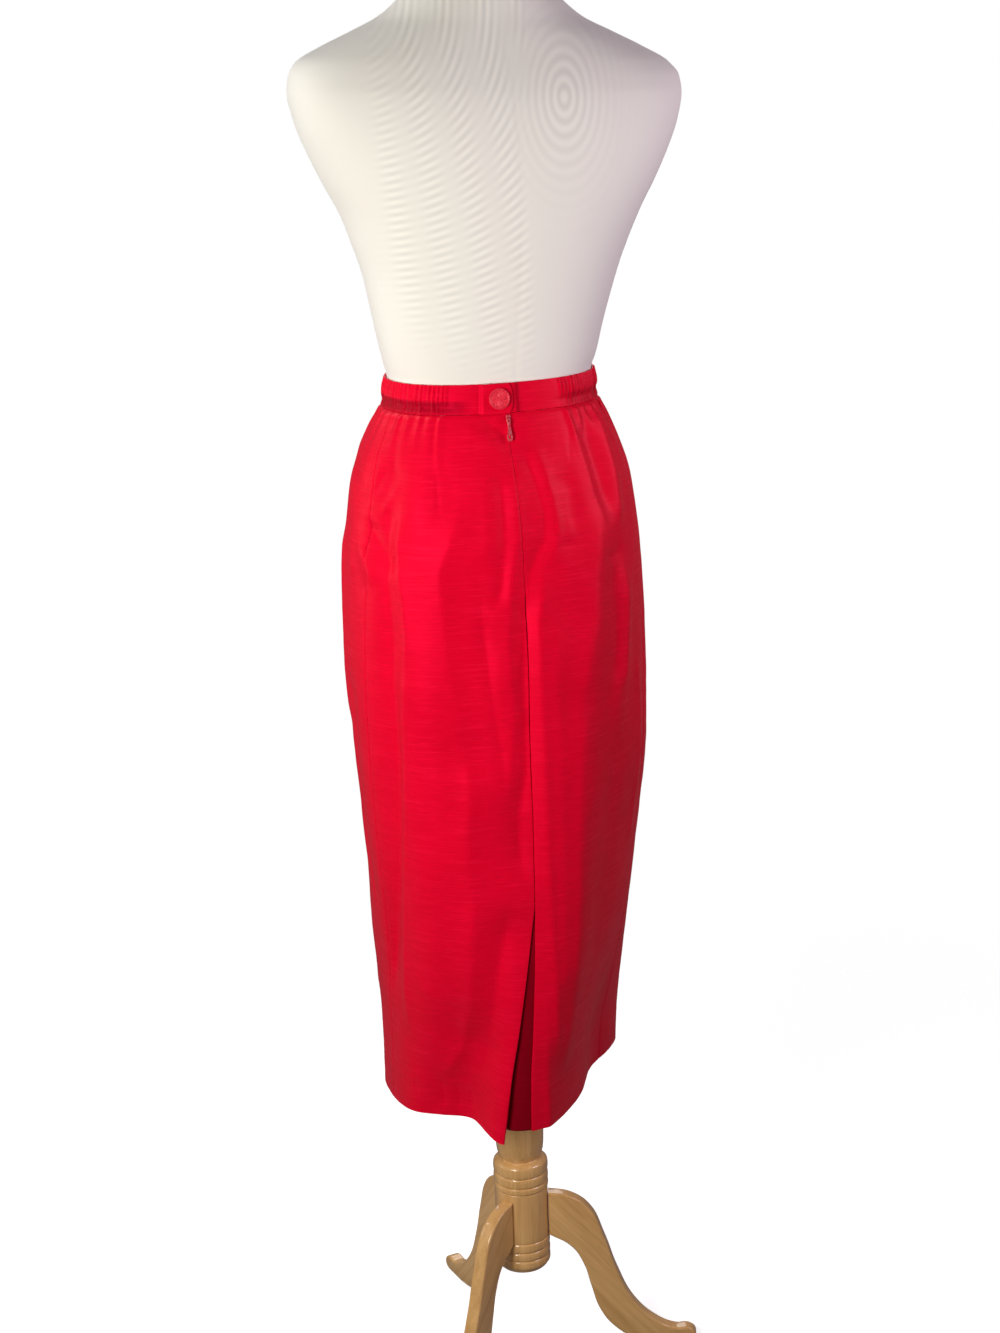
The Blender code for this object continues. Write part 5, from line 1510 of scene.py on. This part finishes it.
class SKIRT_OT_stand(bpy.types.Operator):
    """Build the turned post and its three legs."""

    bl_idname = "skirt.stand"
    bl_label = "Wooden stand"

    def execute(self, context):
        dress(post_piece(), "stand_post")
        for number in (1, 2, 3):
            dress(leg_piece(number), f"stand_leg_{number}")
        return {"FINISHED"}


# ---------------------------------------------------------------- the stage


IMAGE_HEIGHT = 1333  # of an image that is 1000 wide
CAMERA_AZIMUTH, CAMERA_PITCH, CAMERA_ROLL = -15.0, 16.1, 2.0
CAMERA_DISTANCE, CAMERA_HEIGHT = 2.685, 1.65
SENSOR_WIDTH, FOCAL_LENGTH, CAMERA_SHIFT = 36.0, 2430, -3  # the last two in pixels of that image
FLOOR_RADIUS, FLOOR_FADE_START, FLOOR_FADE_END = 2.2, 0.45, 1.5

# Lights: share of the key's or the fill's power, size, angle, distance and height of the place,
# height of the target, and colour.
KEY_LIGHTS = (
    ("key", 1.0, 0.55, (-44, 1.3, 1.18), 1.0, (1.0, 0.985, 0.93)),
    ("side", 0.12, 0.6, (-105, 1.3, 1.1), 1.0, (1.0, 1.0, 1.0)),
    ("rim", 0.8, 0.6, (-120, 1.3, 2.4), 1.2, (1.0, 1.0, 1.0)),
)
FILL_LIGHTS = (
    ("fill", 1.0, 0.6, (60, 1.3, 1.5), 1.3, (0.98, 0.84, 1.0)),
    ("front", 1.5, 1.4, (165, 2.6, 2.0), 0.9, (1.0, 1.0, 1.0)),
)


def area_light(name, power, size, position, target, colour):
    data = bpy.data.lights.new(name, "AREA")
    data.energy = power
    data.shape = "DISK"
    data.size = size
    data.color = colour
    item = linked(name, data)
    item.visible_camera = False
    item.location = position
    item.rotation_euler = (Vector(target) - Vector(position)).to_track_quat("-Z", "Y").to_euler()


def polar(azimuth, distance, height):
    """A point round the post: azimuth 0 is behind the skirt's back, toward -Y."""
    return (POST_X + distance * sin(radians(azimuth)), POST_Y - distance * cos(radians(azimuth)), height)


def stage_camera():
    azimuth, pitch, roll = radians(CAMERA_AZIMUTH), radians(CAMERA_PITCH), radians(CAMERA_ROLL)
    ahead = Vector((-sin(azimuth), cos(azimuth), 0.0))
    right = Vector((cos(azimuth), sin(azimuth), 0.0))
    up = Vector((0.0, 0.0, 1.0))
    looking = ahead * cos(pitch) - up * sin(pitch)
    above = up * cos(pitch) + ahead * sin(pitch)
    across = right * cos(roll) - above * sin(roll)
    above = right * sin(roll) + above * cos(roll)
    data = bpy.data.cameras.new("camera")
    data.sensor_width = SENSOR_WIDTH
    data.lens = SENSOR_WIDTH * FOCAL_LENGTH / IMAGE_HEIGHT
    data.shift_x = CAMERA_SHIFT / IMAGE_HEIGHT
    data.clip_start, data.clip_end = 0.05, 60.0
    camera = linked("camera", data)
    turn = Matrix((across, above, -looking)).transposed().to_4x4()
    camera.matrix_world = Matrix.Translation(polar(CAMERA_AZIMUTH, CAMERA_DISTANCE, CAMERA_HEIGHT)) @ turn
    bpy.context.scene.camera = camera


def stage_world(strength):
    world = bpy.data.worlds.new("surround")
    bpy.context.scene.world = world
    world.use_nodes = True
    tree = world.node_tree
    tree.nodes.clear()
    seen = add(tree, "ShaderNodeBackground", inputs={"Color": (1, 1, 1, 1), "Strength": 1.0})
    lit = add(tree, "ShaderNodeBackground", inputs={"Color": (1.0, 0.93, 0.98, 1), "Strength": strength})
    rays = tree.nodes.new("ShaderNodeLightPath")
    choice = tree.nodes.new("ShaderNodeMixShader")
    tree.links.new(rays.outputs["Is Camera Ray"], choice.inputs[0])
    tree.links.new(lit.outputs[0], choice.inputs[1])
    tree.links.new(seen.outputs[0], choice.inputs[2])
    out = tree.nodes.new("ShaderNodeOutputWorld")
    tree.links.new(choice.outputs[0], out.inputs["Surface"])


def stage_floor(colour):
    """A pale round floor whose edge melts into the white surround."""
    disc = bmesh.new()
    bmesh.ops.create_circle(disc, cap_ends=True, segments=96, radius=FLOOR_RADIUS)
    mesh = bpy.data.meshes.new("floor")
    disc.to_mesh(mesh)
    disc.free()
    floor = linked("floor", mesh)
    floor.location = (0.0, 0.0, -0.0005)
    material = bpy.data.materials.new("pale_floor")
    material.use_nodes = True
    tree = material.node_tree
    tree.nodes.clear()
    place_xyz = add(tree, "ShaderNodeTexCoord").outputs["Object"]
    distance = add(tree, "ShaderNodeVectorMath", operation="LENGTH", inputs={0: place_xyz}).outputs["Value"]
    edge = spread_out(tree, distance, FLOOR_FADE_START, FLOOR_FADE_END)
    seen = add(tree, "ShaderNodeLightPath").outputs["Is Camera Ray"]
    paint = add(tree, "ShaderNodeBsdfDiffuse")
    darker = tuple(0.25 * channel for channel in colour)
    tree.links.new(mixed(tree, seen, darker, colour), paint.inputs["Color"])
    strength = maths(tree, "MULTIPLY", seen, 0.6)
    glow = add(tree, "ShaderNodeEmission", inputs={"Color": (1, 1, 1, 1), "Strength": strength})
    both = tree.nodes.new("ShaderNodeAddShader")
    tree.links.new(paint.outputs[0], both.inputs[0])
    tree.links.new(glow.outputs[0], both.inputs[1])
    clear = tree.nodes.new("ShaderNodeBsdfTransparent")
    choice = tree.nodes.new("ShaderNodeMixShader")
    tree.links.new(edge, choice.inputs[0])
    tree.links.new(both.outputs[0], choice.inputs[1])
    tree.links.new(clear.outputs[0], choice.inputs[2])
    out = tree.nodes.new("ShaderNodeOutputMaterial")
    tree.links.new(choice.outputs[0], out.inputs["Surface"])
    mesh.materials.append(material)


class SKIRT_OT_stage(bpy.types.Operator):
    """Set up the floor, the lights and the camera."""

    bl_idname = "skirt.stage"
    bl_label = "Stage"

    def execute(self, context):
        settings = context.scene.skirt_stage
        stage_camera()
        stage_world(settings.surround)
        stage_floor(settings.floor)
        for power, lights in ((settings.key_power, KEY_LIGHTS), (settings.fill_power, FILL_LIGHTS)):
            for name, share, size, spot, target, colour in lights:
                area_light(name, share * power, size, polar(*spot), (0, 0, target), colour)
        context.scene.view_settings.view_transform = "Standard"
        return {"FINISHED"}


# ---------------------------------------------------------------- panel and registration


class SKIRT_PT_panel(bpy.types.Panel):
    """Lists the pieces' operators and their settings."""

    bl_idname = "SKIRT_PT_panel"
    bl_label = "Pencil skirt"
    bl_space_type = "VIEW_3D"
    bl_region_type = "UI"
    bl_category = "Skirt"

    def draw(self, context):
        layout = self.layout
        for operator in OPERATORS:
            layout.operator(operator.bl_idname)
        for name, group in SETTINGS.items():
            box = layout.box()
            box.label(text=group.__doc__.rstrip("."))
            for key in group.__annotations__:
                box.prop(getattr(context.scene, name), key)


OPERATORS = (
    SKIRT_OT_stage, SKIRT_OT_panels, SKIRT_OT_waistband, SKIRT_OT_fasteners, SKIRT_OT_form, SKIRT_OT_stand,
)


def register():
    for group in SETTINGS.values():
        bpy.utils.register_class(group)
    for name, group in SETTINGS.items():
        setattr(bpy.types.Scene, name, bpy.props.PointerProperty(type=group))
    for operator in OPERATORS:
        bpy.utils.register_class(operator)
    bpy.utils.register_class(SKIRT_PT_panel)


def unregister():
    bpy.utils.unregister_class(SKIRT_PT_panel)
    for operator in reversed(OPERATORS):
        bpy.utils.unregister_class(operator)
    for name, group in SETTINGS.items():
        delattr(bpy.types.Scene, name)
        bpy.utils.unregister_class(group)


def main():
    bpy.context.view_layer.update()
    register()
    bpy.ops.skirt.stage()
    bpy.ops.skirt.panels()
    bpy.ops.skirt.waistband()
    bpy.ops.skirt.fasteners()
    bpy.ops.skirt.form()
    bpy.ops.skirt.stand()


if __name__ == "__main__":
    main()
